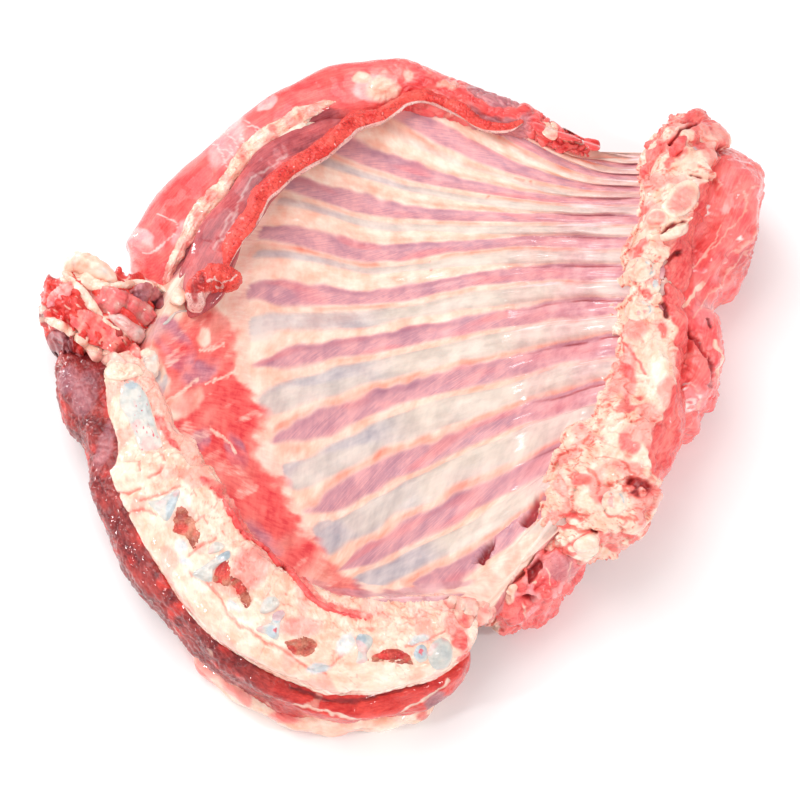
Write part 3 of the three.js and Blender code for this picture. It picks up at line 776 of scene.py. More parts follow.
# %% Breastbone stations
BREASTBONE = [
    [-147, 21, 57, 26, 20], [-142, 6, 57, 31, 21], [-136, -14, 58, 33, 21], [-130, -32, 59, 35, 22],
    [-125, -45, 62, 44, 26], [-118, -60, 62, 45, 26], [-103, -88, 62, 44, 26], [-83, -116, 61, 44, 26],
    [-55, -135, 60, 44, 26], [-25, -144, 59, 43, 26], [2, -141, 57, 41, 26], [21, -134, 56, 38, 25],
    [37, -127, 54, 32, 22]]
band = lump(BREASTBONE, 520 // fine, 180 // fine, box=0.5, tilt=-6, rough=0.02)
shown = look(band.points, 20)
print("band", band.points.shape[:2], "points")

# %% Creases, mounds and the red strip
step = ease(shown[1] - np.interp(shown[0], [114, 119, 137, 146, 177, 191], [469, 462, 462, 455, 449, 466]),
            -2, 2.5)
inner_half = ease(np.cos(band.turn), 0.25, -0.2)  # towards the hollow
folds, small_folds = billow(band.points, 11, 21), billow(band.points, 3.6, 22)
rough_part = np.maximum(inner_half * ease(band.place, 0.28, 0.4), 0.6 * spots(shown, (120, 374, 28, 12, 0)))
creases = [[(143, 501), (160, 496), (181, 486)],
           [(123, 491), (132, 493), (141, 490)], [(130, 512), (145, 509), (157, 516)],
           [(190, 574), (211, 586), (222, 600), (230, 616), (241, 628), (250, 630),
            (262, 640), (283, 650), (297, 660), (311, 669), (326, 673)], [(189, 555), (202, 546), (216, 539)],
           [(141, 471), (139, 463)], [(165, 460), (161, 453)], [(320, 668), (334, 664), (343, 655)],
           [(405, 648), (424, 641), (444, 632)], [(196, 522), (204, 516), (208, 524)],
           [(150, 478), (160, 474), (163, 466)]]
# painted shade in the creases: along the listed lines and between the lumps
crease = np.maximum(strokes(shown, 3.0, *creases),
                    0.75 * ease(folds, 0.16, 0.02) * ease(waves(band.points, 16, 23), -0.1, 0.3))
crease = np.maximum(crease, rough_part * 0.6 * ease(small_folds, 0.25, 0.0)
                    * ease(waves(band.points, 9, 24), 0.0, 0.35))
mounds = spots(shown, (170, 478, 13, 8, 25), (153, 493, 12, 6, 20), (151, 472, 7, 7, 0), (134, 476, 8, 6, 0),
               (178, 462, 10, 6, -20), (236, 561, 18, 12, -40), (262, 560, 14, 9, -40), (395, 625, 20, 7, 5),
               (428, 618, 18, 7, 5), (345, 645, 9, 13, -35), (288, 612, 16, 8, -30), (338, 680, 26, 10, 5))
meat = strokes(shown, 8, [(202, 480), (220, 495), (227, 508), (236, 523), (244, 536), (264, 547), (273, 558),
                          (283, 568), (294, 576), (309, 594), (322, 604), (337, 611), (352, 615), (367, 619)])
meat = np.maximum(meat, strokes(shown, 6, [(158, 417), (166, 432), (178, 450)]))
meat = np.maximum(meat, spots(shown, (463, 668, 9, 22, -10), (459, 640, 8, 10, 0)))
torn = meat * ease(waves(band.points, 3.2, 25), 0.35, -0.15)
print("red strip over", round(float(meat.mean()), 3), "of the band")

# %% Relief of the band
height = 0.8 * (folds - 0.6) * (0.5 + 0.5 * inner_half) + (0.15 + 0.55 * rough_part) * (small_folds - 0.5)
height += (0.9 * waves(band.points, 20, 26) + 2.8 * step - 1.2 + 1.3 * mounds
           - 1.0 * strokes(shown, 3.0, *creases))
height += torn * 1.8 - 0.8 * meat + 0.8 * spots(shown, (120, 374, 26, 10, 0)) * small_folds
sheets = flaps(band.points, (11, 7, 7), 27.5)
height += (0.9 * sheets * inner_half * ease(band.place, 0.25, 0.35)
           + 0.45 * (billow(band.points, 5, 23.5) - 0.6))
for depth, place in ((0.9, (186, 527, 8, 19, 15)), (1.4, (222, 573, 7, 9, 20)), (2.6, (242, 591, 6, 17, 33)),
                     (2.2, (301, 648, 14, 7, 12)), (2.0, (390, 656, 22, 5, 2))):
    height -= depth * spots(shown, place)  # where the marrow has sunk
band_points = swell(band.points, height)
print("relief from", round(float(height.min()), 1), "to", round(float(height.max()), 1), "mm")

# %% The band and its colours
piece("breastbone_fat", band_points, band.flow,
      {"pale": np.maximum(0.9
                          * ease(waves(band.points, 17, 27), 0.05, 0.3) * ease(np.cos(band.turn), -0.2, 0.3),
                          spots(shown, (186, 498, 6, 16, -10), (385, 685, 26, 8, 5),
                                (265, 690, 30, 10, -20))),
       "pink": np.maximum(spots(shown, (250, 570, 18, 22, 0), (300, 628, 24, 10, 0), (455, 625, 12, 14, 0))
                          * 0.8, 0.5 * ease(waves(band.points, 13, 28), 0.1, 0.35)
                          + 0.5 * ease(step, 0.5, 0.0) * inner_half),
       # painted shade at the creases and at the feet of the inner sheets
       "crease": np.maximum(0.6 * crease, 2.4 * sheets * (1 - sheets) * inner_half),
       "gristle": spots(shown, (345, 645, 8, 12, -35), (318, 668, 12, 5, 8), (235, 607, 8, 4, -35),
                        (181, 546, 6, 6, 0), (186, 563, 7, 4, -30), (418, 640, 10, 4, 15)) * 0.9,
       "meat": meat * (0.8 + 0.5 * waves(band.points, 4, 29)),
       "cut": ease(np.sin(band.turn), -0.3, -0.7) * 0.8}, lamb_fat, ["breastbone"])
print("breastbone faces", faces_made["breastbone_fat"])

# %% [markdown]
# ## Sawn bone and cartilage
# Where the saw went through a bone it leaves a flat face: red and porous for marrow, smooth and bluish for
# cartilage. Each is a plug with the outline that shows in the picture, let into the fat.

# %% Outlines of the plugs
SAWN = [  # name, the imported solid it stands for, its kind, corners in the picture, dome and bowl in mm
    ("bar", 1, "cartilage", [(121, 384), (128, 379), (137, 380), (146, 392), (150, 402), (158, 430),
                             (163, 447), (152, 452), (141, 451), (133, 432), (126, 417), (118, 402)], 1.2,
     0.0), ("wedge", 2, "cartilage",
            [(146, 502), (160, 498), (180, 488), (178, 502), (171, 518), (166, 522), (157, 513)], 0.9, 0.2),
    ("upper_marrow", 3, "marrow", [(180, 503), (190, 513), (200, 531), (199, 544),
                                   (193, 549), (186, 537), (173, 533), (171, 528), (174, 514)], 0.5, 0.0),
    ("red_marrow", 4, "marrow", [(214, 572), (220, 563), (228, 559), (231, 566), (230, 585), (225, 587),
                                 (220, 584), (213, 582)], 0.5, 0.0),
    ("slit", 5, "marrow", [(229, 574), (235, 577), (243, 582), (249, 592), (252, 603), (246, 609), (241, 602),
                           (234, 592), (230, 582)], 0.5, 0.0),
    ("pit", 6, "marrow", [(284, 643), (296, 638), (308, 636), (318, 643), (316, 651), (304, 657), (293, 655)],
     0.5, 0.0), ("blue_knot", 7, "cartilage", [(355, 640), (360, 632), (371, 635), (373, 643), (367, 654),
                                               (368, 662), (356, 664), (358, 651)], 1.0, 0.2),
    ("crescent", 8, "marrow", [(366, 661), (377, 652), (392, 648),
                               (404, 650), (412, 659), (415, 666), (400, 664), (384, 662)], 0.5, 0.0),
    ("oval", 9, "cartilage", [(431, 643), (441, 637), (451, 643),
                              (453, 656), (447, 668), (436, 671), (429, 664), (427, 653)], 1.6, 0.3),
    ("nub_a", 0, "cartilage", [(209, 548), (216, 541), (225, 545), (221, 551), (209, 554)], 1.6, 0.0),
    ("wedge_b", 0, "cartilage", [(191, 574), (204, 565), (220, 554), (230, 549),
                                 (231, 557), (221, 563), (213, 572), (211, 583), (198, 580)], 0.8, 0.2),
    ("nub_b", 0, "cartilage", [(259, 611), (265, 598), (275, 596), (280, 603), (274, 611), (264, 614)], 1.8,
     0.0), ("wedge_c", 0, "cartilage", [(255, 629), (270, 622), (273, 613), (282, 609), (286, 613),
                                        (281, 622), (280, 633), (277, 641), (266, 636)], 0.8, 0.2),
    ("small_knot", 0, "cartilage", [(413, 650), (420, 643), (428, 648), (428, 660), (420, 663), (414, 658)],
     0.8, 0.3)]
print("outlines", len(SAWN))

# %% Let the plugs into the band
bed = ground(band_points)
for name, number, kind, corners, dome, bowl in SAWN:
    cut = plug(bed, corners, dome, bowl)
    shown = look(cut.points, number, 0.6)
    if kind == "marrow":
        masks = {"rim": ease(cut.place, 0.84, 1.0) * ease(waves(cut.points, 5, 30), -0.3, 0.1) * 0.8,
                 "blood": np.maximum(ease(waves(cut.points, 3.5, 30.5), -0.1, 0.35)
                                     * (1.0 if number in (4, 5, 8) else 0.4),
                                     spots(shown, (181, 528, 8, 6, 0), (222, 568, 10, 13, 30),
                                           (240, 588, 6, 18, -55), (290, 650, 7, 5, 0), (392, 654, 24, 5, 0))
                                     * 0.7)}
        height = 0.45 * waves(cut.points, 1.2, 31) + 0.5 * waves(cut.points, 3, 32)
    else:
        masks = {"fat": ease(cut.place, 0.84, 0.98) * 0.6,
                 "pink": 0.5 * ease(waves(cut.points, 7, 33), 0.1, 0.4),
                 "blue": np.maximum(spots(shown, (131, 384, 8, 5, 0),
                                          (361, 640, 6, 6, 0), (420, 651, 7, 8, 0), (172, 507, 6, 12, -15),
                                          (225, 556, 8, 5, 30), (277, 616, 7, 7, 0), (272, 632, 6, 7, 0)),
                                    0.3 * ease(waves(cut.points, 6, 34), -0.1, 0.3)),
                 "blood": np.maximum(spots(shown, (274, 630, 3.5, 4.5, 0), (421, 652, 3, 3.5, 0))
                                     * (0.6 + waves(cut.points, 2, 39)),
                                     (number == 1) * ease(waves(cut.points, 1.5, 35), 0.42, 0.55)
                                     * ease(waves(cut.points, 20, 36), 0.3, -0.1))}
        height = 0.15 * waves(cut.points, 3, 37) + 0.3 * waves(cut.points, 8, 38)
    piece("breastbone_" + name, swell(cut.points, height), cut.flow, masks,
          marrow if kind == "marrow" else cartilage, [f"breastbone_{number}"] if number else [])
print("plugs in the breastbone", len(SAWN))

# %% [markdown]
# ## The breast meat under the band
# Outside the breastbone the dark breast muscle was cut across its fibres, which leaves a coarse, granular
# face. Towards the right it turns into a smooth bright band under a dark cleft, and a thin layer of fat
# lies below it.

# %% Breast muscle
BREAST_MUSCLE = [
    [-174, 40, 26, 46, 40], [-161, 8, 29, 46, 42], [-149.5, -12, 30, 40, 42],
    [-143, -35, 30, 41, 42], [-134, -62.5, 30, 41, 42], [-119.5, -88, 30, 41, 40], [-95, -113.5, 30, 43, 38],
    [-70, -133.5, 29, 46, 36], [-42, -145, 28, 50, 34], [-13, -148, 28, 48, 32], [14, -142, 30, 45, 34],
    [35, -134, 33, 38, 35]]
breast = lump(BREAST_MUSCLE, 430 // fine, 150 // fine, box=0.6)
shown = look(breast.points, 40)
smooth_end = ease(breast.place, 0.60, 0.78)
cleft = strokes(shown, 4, [(290, 688), (325, 699), (348, 702), (372, 697), (400, 690), (425, 682)])
pale_line = strokes(shown, 3, [(294, 703), (333, 714), (362, 720), (392, 718), (424, 701), (449, 680)])
height = (1 - 0.8 * smooth_end) * (1.1 * billow(breast.points, 3.4, 41) + 0.5 * waves(breast.points, 1.8, 42))
height += (1.6 * waves(breast.points, (20, 20, 12), 43) + 1.0 * waves(breast.points, 8, 44) - 1.0 * cleft
           - 0.8 * pale_line)
# painted sheen: mauve patches where the dark meat shines purple at its top
glossy = spots(shown, (86, 392, 12, 24, -15), (70, 380, 10, 14, 0))
piece("breast_meat", swell(breast.points, height), breast.flow,
      {"bright": np.maximum(smooth_end * 0.95, 0.6 * ease(waves(breast.points, 11, 45), 0.1, 0.4)),
       "mauve": np.maximum(glossy, spots(shown, (437, 705, 12, 14, 0), (108, 440, 8, 30, -20))),
       "fat": np.maximum(0.8 * pale_line, ease(waves(breast.points, (9, 9, 4), 46), 0.42, 0.6) * 0.45),
       # painted shade: the inner side, in the crevice under the band's edge, is darker
       "cut": np.maximum(0.8 * cleft, ease(np.cos(breast.turn), 0.3, -0.1) * 0.5)},
      dark_muscle, ["breast_muscle"])

print("breast meat faces", faces_made["breast_meat"])

# %% Breast fat
BREAST_FAT = [
    [-100, -108, 9, 44, 16], [-75, -130.5, 9, 54, 18], [-42, -142, 9, 60, 18], [-11, -143, 9, 58, 18],
    [19, -137, 10, 50, 17]]
layer = lump(BREAST_FAT, 180 // fine, 90 // fine, box=0.6)
shown = look(layer.points, 50)
height = 0.6 * billow(layer.points, 9, 51) + 1.2 * waves(layer.points, 16, 52)
piece("breast_fat_layer", swell(layer.points, height), layer.flow,
      {"pink": ease(waves(layer.points, 12, 53), -0.1, 0.25) * ease(layer.place, 0.75, 0.5),
       "pale": spots(shown, (400, 727, 34, 10, 20)),
       "meat": ease(waves(layer.points, (14, 14, 5), 54), 0.15, 0.4) * 0.7 * ease(shown[1], 728, 716)},
      lamb_fat, ["breast_fat"])
print("breast faces", faces_made["breast_meat"] + faces_made["breast_fat_layer"])

# %% [markdown]
# ## The backbone
# The saw split the backbone lengthwise. Folds of fat and scraps of muscle cover the half bones, with dark
# crevices between them, and round discs of cartilage shine where two bones meet.

# %% Backbone stations
BACKBONE = [
    [165, 159, 62, 57, 38], [153, 137, 64, 50, 44], [147, 116, 65, 44, 44], [141, 93, 65, 40, 44],
    [136, 73, 65, 38, 44], [132, 53, 64, 38, 42], [130, 30, 64, 40, 42], [129, 10, 63, 40, 42],
    [127, -10, 62, 42, 42], [120, -31, 61, 46, 42], [110, -48, 60, 52, 42], [100, -64, 57, 56, 42],
    [86, -76, 50, 44, 38], [73, -84, 44, 28, 30]]
chine = lump(BACKBONE, 540 // fine, 210 // fine, box=0.7, rough=0.05)
shown = look(chine.points, 60)
print("backbone", chine.points.shape[:2], "points")

# %% Its side of meat, lobes and crevices
meat_border = np.interp(shown[1], [150, 165, 180, 187, 208, 223, 240, 256, 280, 305, 323, 348, 384, 400, 420,
                                   430, 452, 470, 486], [740, 713, 709, 698, 696, 686, 678, 667, 664, 663,
                                                         672, 677, 675, 670, 662, 648, 648, 650, 668])
meat_side = ease(shown[0] - meat_border + 4 * waves(chine.points, 6, 70), -2, 3) * ease(shown[1], 158, 168)
meat_side *= ease(shown[1], 494, 482)
smooth_part = spots(shown, (650, 365, 26, 52, 8), (616, 440, 14, 24, 25))
big, middling, small = (billow(chine.points, size, 61 + k) for k, size in enumerate((15, 6, 2.6)))
sheets, small_sheets = flaps(chine.points, (13, 8, 10), 62), flaps(chine.points, (7, 5, 5), 63)
loose = (1 - 0.6 * smooth_part) * (1 - 0.8 * meat_side)
lobes = spots(shown, (684, 194, 17, 17, 0), (672, 214, 12, 10, 40), (655, 216, 13, 8, 40),
              (674, 231, 16, 8, 30), (585, 547, 14, 12, 20), (602, 470, 13, 12, 20), (590, 500, 14, 12, 0),
              (660, 372, 9, 22, 10), (642, 455, 10, 14, 20), (693, 160, 22, 8, 10), (718, 136, 20, 9, -30),
              (686, 132, 12, 7, 30))
loose *= 1 - 0.7 * lobes
tatter = waves(chine.points, 4.5, 60)
crevice = strokes(shown, 6, [(665, 268), (665, 292)], [(664, 304), (666, 316)],
                  [(684, 252), (676, 256), (668, 262)])
crevice = np.maximum(crevice, strokes(shown, 3.2, [(670, 144), (680, 133), (694, 127)],
                                      [(690, 175), (700, 179)], [(662, 236), (668, 228), (683, 223)],
                                      [(596, 535), (590, 530)], [(712, 180), (720, 199)]))
crevice = np.maximum(crevice,
                     spots(shown, (727, 154, 12, 7, -20), (640, 485, 12, 12, 0)) * ease(tatter, -0.35, 0.1))
fold = strokes(shown, 3.5, [(562, 516), (575, 514), (588, 516)], [(561, 522), (580, 531), (602, 533)],
               [(603, 500), (607, 515), (629, 518)], [(588, 470), (600, 482), (598, 494)],
               [(622, 462), (634, 474), (630, 482)])
reddish = np.maximum(spots(shown, (677, 147, 10, 14, 20), (668, 160, 6, 10, 20), (630, 404, 16, 9, 30),
                           (627, 444, 8, 14, 20), (605, 540, 8, 10, 0), (631, 538, 11, 6, -30),
                           (641, 486, 16, 14, 0), (735, 150, 18, 14, -30), (645, 296, 8, 8, 0),
                           (681, 247, 8, 9, 20), (700, 122, 26, 7, -20), (662, 330, 6, 9, 0))
                     * ease(tatter, -0.4, 0.15),
                     strokes(shown, 3.5, [(624, 343), (634, 356), (646, 374)], [(649, 300), (640, 290)],
                             [(620, 330), (622, 350)], [(567, 513), (580, 521)], [(566, 545), (588, 533)]))
print("crevices over", round(float(crevice.mean()), 3), "of it")

# %% Relief of the backbone
lines = np.maximum(3.2 * sheets * (1 - sheets), 2.4 * small_sheets * (1 - small_sheets)) * loose
lines = np.maximum(lines,
                   0.7 * ease(middling, 0.14, 0.02) * ease(waves(chine.points, 15, 64), -0.15, 0.25) * loose)
height = loose * (2.2 * (big - 0.55) + 2.2 * (sheets - 0.5) + 0.7 * (small_sheets - 0.5)
                  + 0.6 * (middling - 0.5))
height += (1.3 * waves(chine.points, 25, 65) + 2.2 * lobes * (1 - meat_side) - 3.0 * crevice - 0.4 * reddish
           - 0.9 * fold + 0.7)
height += 0.2 * (small - 0.5) + meat_side * (1.4 * (big - 0.8) + 0.5 * (middling - 0.5) - 0.6)
slim = 5.5 * ease(chine.place, 0.38, 0.26) + 3.5 * ease(chine.place, 0.26, 0.38) * ease(chine.place, 0.6, 0.5)
height -= slim * ease(np.cos(chine.turn), 0.1, 0.7)  # the far end is slim on its inner side
chine_points = swell(chine.points, height)
print("relief from", round(float(height.min()), 1), "to", round(float(height.max()), 1), "mm")

# %% The backbone and its colours
piece("backbone_fat", chine_points, chine.flow,
      {"pale": np.maximum(spots(shown, (662, 374, 9, 26, 8), (667, 400, 10, 16, 0), (672, 233, 12, 6, 30),
                                (586, 547, 12, 10, 20), (640, 458, 9, 13, 20), (690, 187, 9, 12, 0)),
                          0.7 * ease(waves(chine.points, 14, 66), 0.12, 0.4)),
       "pink": np.maximum(0.8 * ease(waves(chine.points, 13, 67), 0.0, 0.35),
                          spots(shown, (628, 372, 8, 30, 0), (700, 125, 40, 12, -10))),
       # painted shade at the feet of the fat's steps and in its folds
       "crease": np.maximum(1.15 * lines, 0.8 * fold),
       "gristle": spots(shown, (699, 147, 5, 2.5, -20), (655, 283, 3, 5, 0)),
       "meat": np.maximum(np.maximum(0.8 * reddish, meat_side),
                          0.8 * ease(waves(chine.points, (10, 10, 6), 68) + 0.35 * ease(shown[1], 185, 140),
                                     0.28, 0.55)),
       "cut": np.maximum(crevice, 0.5 * ease(np.sin(chine.turn), -0.2, -0.7)
                         * ease(waves(chine.points, 11, 69), 0, 0.3))}, lamb_fat, ["backbone"])
print("backbone faces", faces_made["backbone_fat"])

# %% Discs between the bones
bed = ground(chine_points)
DISCS = [[(625, 272), (628, 262), (637, 257), (648, 259), (656, 266), (656, 274), (646, 281), (634, 282)],
         [(625, 308), (630, 301), (641, 299), (650, 303), (655, 309), (650, 317), (638, 321), (627, 318)],
         [(601, 503), (604, 494), (612, 489), (622, 491), (627, 500), (625, 510), (616, 516), (606, 513)]]
for number, corners in enumerate(DISCS, start=1):
    disc = plug(bed, corners, 1.1, 0.3)
    across_disc, down_disc = disc.flow[..., 0], disc.flow[..., 1]
    arc = np.exp(-((disc.place - 0.72) / 0.12) ** 2) * ease(across_disc - down_disc, -1.0, 3.0)
    arc *= ease(waves(disc.points, 5, number + 8), -0.4, 0.0)
    height = 0.2 * np.exp(-((disc.place - 0.86) / 0.1) ** 2) - 0.4 * arc + 0.5 * waves(disc.points, 4, number)
    piece(f"backbone_disc_{number}", swell(disc.points, height),
          disc.flow, {"fat": 0.95 - 0.9 * arc - 0.5 * ease(disc.place, 0.85, 0.95), "blue": arc * 0.6,
                      "pink": np.maximum(0.8 * ease(waves(disc.points, 4, number + 5), 0.1, 0.3)
                                         * ease(disc.place, 0.6, 0.4), 0.5 * ease(disc.place, 0.93, 1.0))},
          cartilage, [f"backbone_joint_{number}"])
print("discs", len(DISCS))

# %% [markdown]
# ## The long back muscle and the neck meat
# The loin runs along the outer side of the backbone: a bright, nearly smooth muscle with a few deep clefts,
# veiled here and there by white membrane. The neck meat at the front was hacked off across the grain.

# %% Loin stations, clefts and veils
LOIN = [
    [178, 148, 42, 46, 66], [174, 124, 39, 56, 72], [165, 90, 38, 50, 72], [154, 68, 38, 36, 70],
    [148.5, 49, 37, 36, 68], [150, 26, 37, 42, 68], [145.5, 3, 36, 41, 66], [133, -11, 36, 26, 64],
    [122, -27, 35, 20, 62], [110, -45, 34, 18, 58], [100, -61, 34, 16, 50]]
loin = lump(LOIN, 400 // fine, 200 // fine, box=0.65, rough=0.04)
shown = look(loin.points, 70)
lower, ragged = ease(loin.place, 0.40, 0.5), ease(loin.place, 0.74, 0.8)
cleft = strokes(shown, 4, [(684, 323), (688, 332), (693, 338), (700, 343)],
                [(708, 358), (709, 370), (712, 387)], [(707, 320), (710, 325)], [(700, 343), (704, 356)],
                [(672, 397), (668, 412)])
veil = strokes(shown, 1.8, [(725, 262), (744, 245), (765, 220)],
               [(744, 195), (746, 205), (744, 214)], [(714, 178), (721, 187), (716, 191)],
               [(750, 192), (762, 184)], [(700, 262), (714, 240), (722, 222)],
               [(692, 386), (702, 400), (698, 412)], [(665, 412), (678, 424)],
               [(745, 252), (750, 262), (742, 270)], [(668, 300), (690, 272), (722, 238), (748, 210)],
               [(694, 318), (714, 290), (736, 262), (752, 246)])
# white spots of membrane, partly painted highlight where the wet membrane shines
white = spots(shown, (693, 403, 13, 6, 35), (705, 210, 5, 8, -30), (699, 213, 4, 4, 0), (740, 240, 3, 4, 0),
              (672, 418, 8, 3, -35), (686, 386, 6, 3, 20)) * ease(waves(loin.points, 3, 78), -0.25, 0.2)
brown = spots(shown, (745, 262, 22, 12, 50), (758, 240, 7, 20, -15))
bellies = spots(shown, (704, 262, 54, 16, 52), (706, 346, 15, 34, -8), (738, 182, 24, 20, 0),
                (684, 440, 14, 24, -20))
print("loin", loin.points.shape[:2], "points")

# %% Relief and colours of the loin
folds, small_folds = billow(loin.points, 13, 71), billow(loin.points, 4, 72)
height = (0.6 + 1.6 * lower) * (folds - 0.5) + (0.15 + 0.5 * lower + 1.2 * ragged) * (small_folds - 0.5)
height += 1.8 * waves(loin.points, 20, 73) - 2.2 * cleft + 0.4 * veil + 1.0 * brown * small_folds
height += (1.2 * (flaps(loin.points, (22, 12, 12), 76) - 0.5) + 1.8 * (bellies - 0.4)
           + 0.3 * waves(loin.flow, (18, 2, 2), 77))
height += 2.0 * spots(shown, (735, 185, 18, 14,
                              0), (725, 290, 14, 10, 30)) - 5.0 * spots(shown, (716, 432, 16, 20, 30))
loin_points = swell(loin.points, height)
up_side = ease(np.sin(loin.turn), -0.1, 0.3)
piece("loin_meat", loin_points, loin.flow,
      {"deep": np.maximum(spots(shown, (693, 268, 52, 12, 62), (688, 345, 6, 8, 0), (668, 460, 14, 22, 0)),
                          0.3 * ease(folds, 0.3, 0.0) + 0.5 * ease(waves(loin.points, 12, 74), 0.1, 0.5)),
       # the last pale skin spot, at the lower end, is painted highlight too
       "skin": np.maximum(0.25 * ease(waves(loin.points, (9, 20, 12), 75), 0.1, 0.5),
                          spots(shown, (728, 204, 5, 10, -20), (705, 312, 12, 14, 0), (695, 398, 14, 12, 0))
                          * 0.5), "wine": brown * 0.35,
       "fat": np.maximum(strokes(shown, 4.5, [(681, 309), (692, 297), (704, 284)],
                                 [(714, 342), (719, 362), (720, 390)], [(764, 208), (764, 219)]), veil * 0.5)
       * up_side, "pale": white * up_side,
       "cut": np.maximum(cleft * up_side, 0.6 * ragged * ease(small_folds, 0.12, 0.0))}, raw_muscle,
      ["loin_muscle"])

print("loin faces", faces_made["loin_meat"])

# %% Neck
NECK_MUSCLE = [
    [95, -80, 32, 18, 42], [81, -89, 27, 24, 50], [68, -101, 26, 30, 50], [54.5, -108, 27, 30, 46],
    [43, -112, 29, 22, 38]]
neck = lump(NECK_MUSCLE, 210 // fine, 170 // fine, box=0.65, rough=0.04)
shown = look(neck.points, 80)
folds, small_folds = billow(neck.points, 8, 81), billow(neck.points, 2.6, 82)
hollow = spots(shown, (535, 570, 5, 15, -25), (530, 599, 8, 3.5, -20))
membrane = spots(shown, (559, 567, 19, 15, -25), (500, 600, 5, 15, -15))
height = 1.2 * (folds - 0.5) * (1 - 0.7 * membrane) + 0.4 * (small_folds - 0.5) * (1 - 0.8 * membrane)
height += 1.6 * (flaps(neck.points, (12, 8, 9), 85) - 0.5) * (1 - 0.8 * membrane)
height += (waves(neck.points, 18, 83) - 4.0 * hollow
           + 1.2 * spots(shown, (511, 594, 5, 10, -10), (533, 583, 4, 3, 0)))
height -= 6.0 * spots(shown, (507, 572, 30, 12, 42))
neck_points = swell(neck.points, height)
piece("neck_meat", neck_points, neck.flow,
      {"deep": np.maximum(0.35, 0.8 * ease(folds, 0.4, 0.1)) * (1 - membrane), "mauve": membrane * 0.55,
       "fat": np.maximum(spots(shown, (511, 594, 5, 10, -10), (534, 583, 4, 3, 0), (492, 628, 8, 6, 0)),
                         strokes(shown, 1.6, [(520, 600), (525, 607), (524, 614), (529, 622)],
                                 [(543, 563), (550, 575), (551, 586)], [(572, 562), (567, 572), (569, 580)])
                         * ease(waves(neck.points, 5, 86), -0.3, 0.1) * 0.7),
       "skin": np.maximum(0.6 * ease(waves(neck.points, 9, 84), 0.1, 0.4), 0.4 * membrane),
       "cut": np.maximum(hollow, 0.5 * ease(small_folds, 0.1, 0.0))}, raw_muscle, ["neck_muscle"])

print("neck faces", faces_made["neck_meat"])

# %% [markdown]
# ## The belly flap and the skirt
# The flap behind the ribs is a sheet of smooth belly muscle under a clear skin. A string of fat runs along
# it, and beside that the skirt, the cut edge of the midriff, stands up as a thin bright red ridge with a
# pale skin on its inner side. Towards the top the flap gets bumpy with pink fat, and its end is torn into
# small red lumps.

# %% Flap stations and relief
FLANK = [
    [-141, 66, 30, 52, 34], [-127, 80, 31, 62, 36], [-115, 105, 31, 56, 36], [-100.5, 129.5, 31, 46, 36],
    [-78, 156.5, 31, 40, 36], [-54, 176.5, 31, 39, 36], [-28, 190, 31, 38, 36], [-1, 194, 31, 34, 36],
    [25, 187, 32, 25, 31], [46, 178, 33, 24, 28], [70, 170, 34, 18, 24], [90, 158, 36, 14, 20],
    [108, 149, 38, 10, 16]]
flap = lump(FLANK, 440 // fine, 170 // fine, box=0.75, tilt=-14, rough=0.02)
shown = look(flap.points, 90)
beyond = ease(shown[0], 360, 400)
tail = ease(shown[0], 520, 540)
string_line = [(166, 284), (174, 259), (184, 240), (196, 222), (208, 205), (220, 190), (240, 164), (258, 146),
               (278, 133), (294, 121), (310, 110), (330, 104)]
between = ease(shown[1] - np.interp(shown[0], [p[0] for p in string_line], [p[1] for p in string_line]), 2, 7)
between *= ease(shown[0], 360, 330)
small_folds = billow(flap.points, 5, 91)
height = 1.2 * waves(flap.points, 24, 92) + 0.25 * waves(flap.points, 6, 93) - 0.8 * between
height += ((1.2 * beyond + 1.8 * tail) * (small_folds - 0.5)
           + 1.5 * spots(shown, (382, 84, 12, 8, 0), (362, 76, 8, 6, 0)))
bright_band = strokes(shown, 9, [(398, 92), (415, 84), (432, 82), (450, 90), (466, 98)],
                      [(470, 98), (490, 112), (516, 114), (530, 106)])
print("flap", flap.points.shape[:2], "points")

# %% The flap and its colours
pale_parts = spots(shown, (226, 140, 28, 15, 70), (132, 262, 24, 12, 30), (142, 244, 12, 16, 30),
                   (376, 88, 22, 14, 0), (268, 104, 12, 5, 30), (180, 232, 18, 5, 60))
pale_parts = np.clip(pale_parts * (0.9 + 0.8 * waves(flap.flow, (6, 14, 8), 98.5)), 0, 1)
deep_parts = spots(shown, (190, 180, 46, 18, 55), (262, 104, 34, 12, 30), (318, 80, 34, 9, 12),
                   (158, 232, 20, 10, 60))
up_side = ease(np.sin(flap.turn), 0.0, 0.4)
flap_points = swell(flap.points, height + 1.0 * bright_band)
piece("flap_meat", flap_points, flap.flow,
      {"deep": np.maximum(np.maximum(0.25 + 0.3 * ease(waves(flap.points, 20, 94.5), -0.2, 0.5),
                                     0.75 * deep_parts),
                          np.maximum(bright_band, tail * ease(waves(flap.points, 7, 94), -0.1, 0.15))),
       "skin": np.clip(pale_parts + 0.5 * waves(flap.points, 16, 95), 0, 1) * (1 - bright_band) * (1 - tail),
       "mauve": 0.8 * ease(shown[0], 462, 474) * (1 - tail) * (1 - bright_band), "wine": 0.8 * between,
       "fat": np.maximum(0.6 * beyond * ease(waves(flap.points, 8, 97), 0.05, 0.5) * ease(shown[0], 470, 450),
                         spots(shown, (383, 90, 17, 12, 0), (362, 78, 10, 6, 0),
                               (548, 128, 9, 5, -20), (566, 136, 8, 5, -20)) * 0.9 * up_side),
       "pale": np.maximum(up_side * strokes(shown, 1.8, [(157, 213), (168, 219), (176, 222), (176, 229),
                                                         (172, 235)], [(217, 146), (223, 155), (229, 167)],
                                            [(229, 146), (232, 152), (223, 165)],
                                            [(144, 254), (156, 252), (174, 235)], [(246, 125), (262, 128)],
                                            [(120, 268), (160, 285)], [(243, 158), (226, 151), (210, 143)],
                                            [(244, 155), (233, 139), (222, 128)], [(247, 150), (241, 134)],
                                            [(262, 140), (256, 128), (246, 120)]) * 0.6, between
                          * strokes(shown, 2.5, [(223, 238), (241, 208), (248, 187), (270, 169), (290, 156)],
                                    [(232, 236), (238, 225)]))}, raw_muscle, ["flank_muscle"])
print("flap faces", faces_made["flap_meat"])

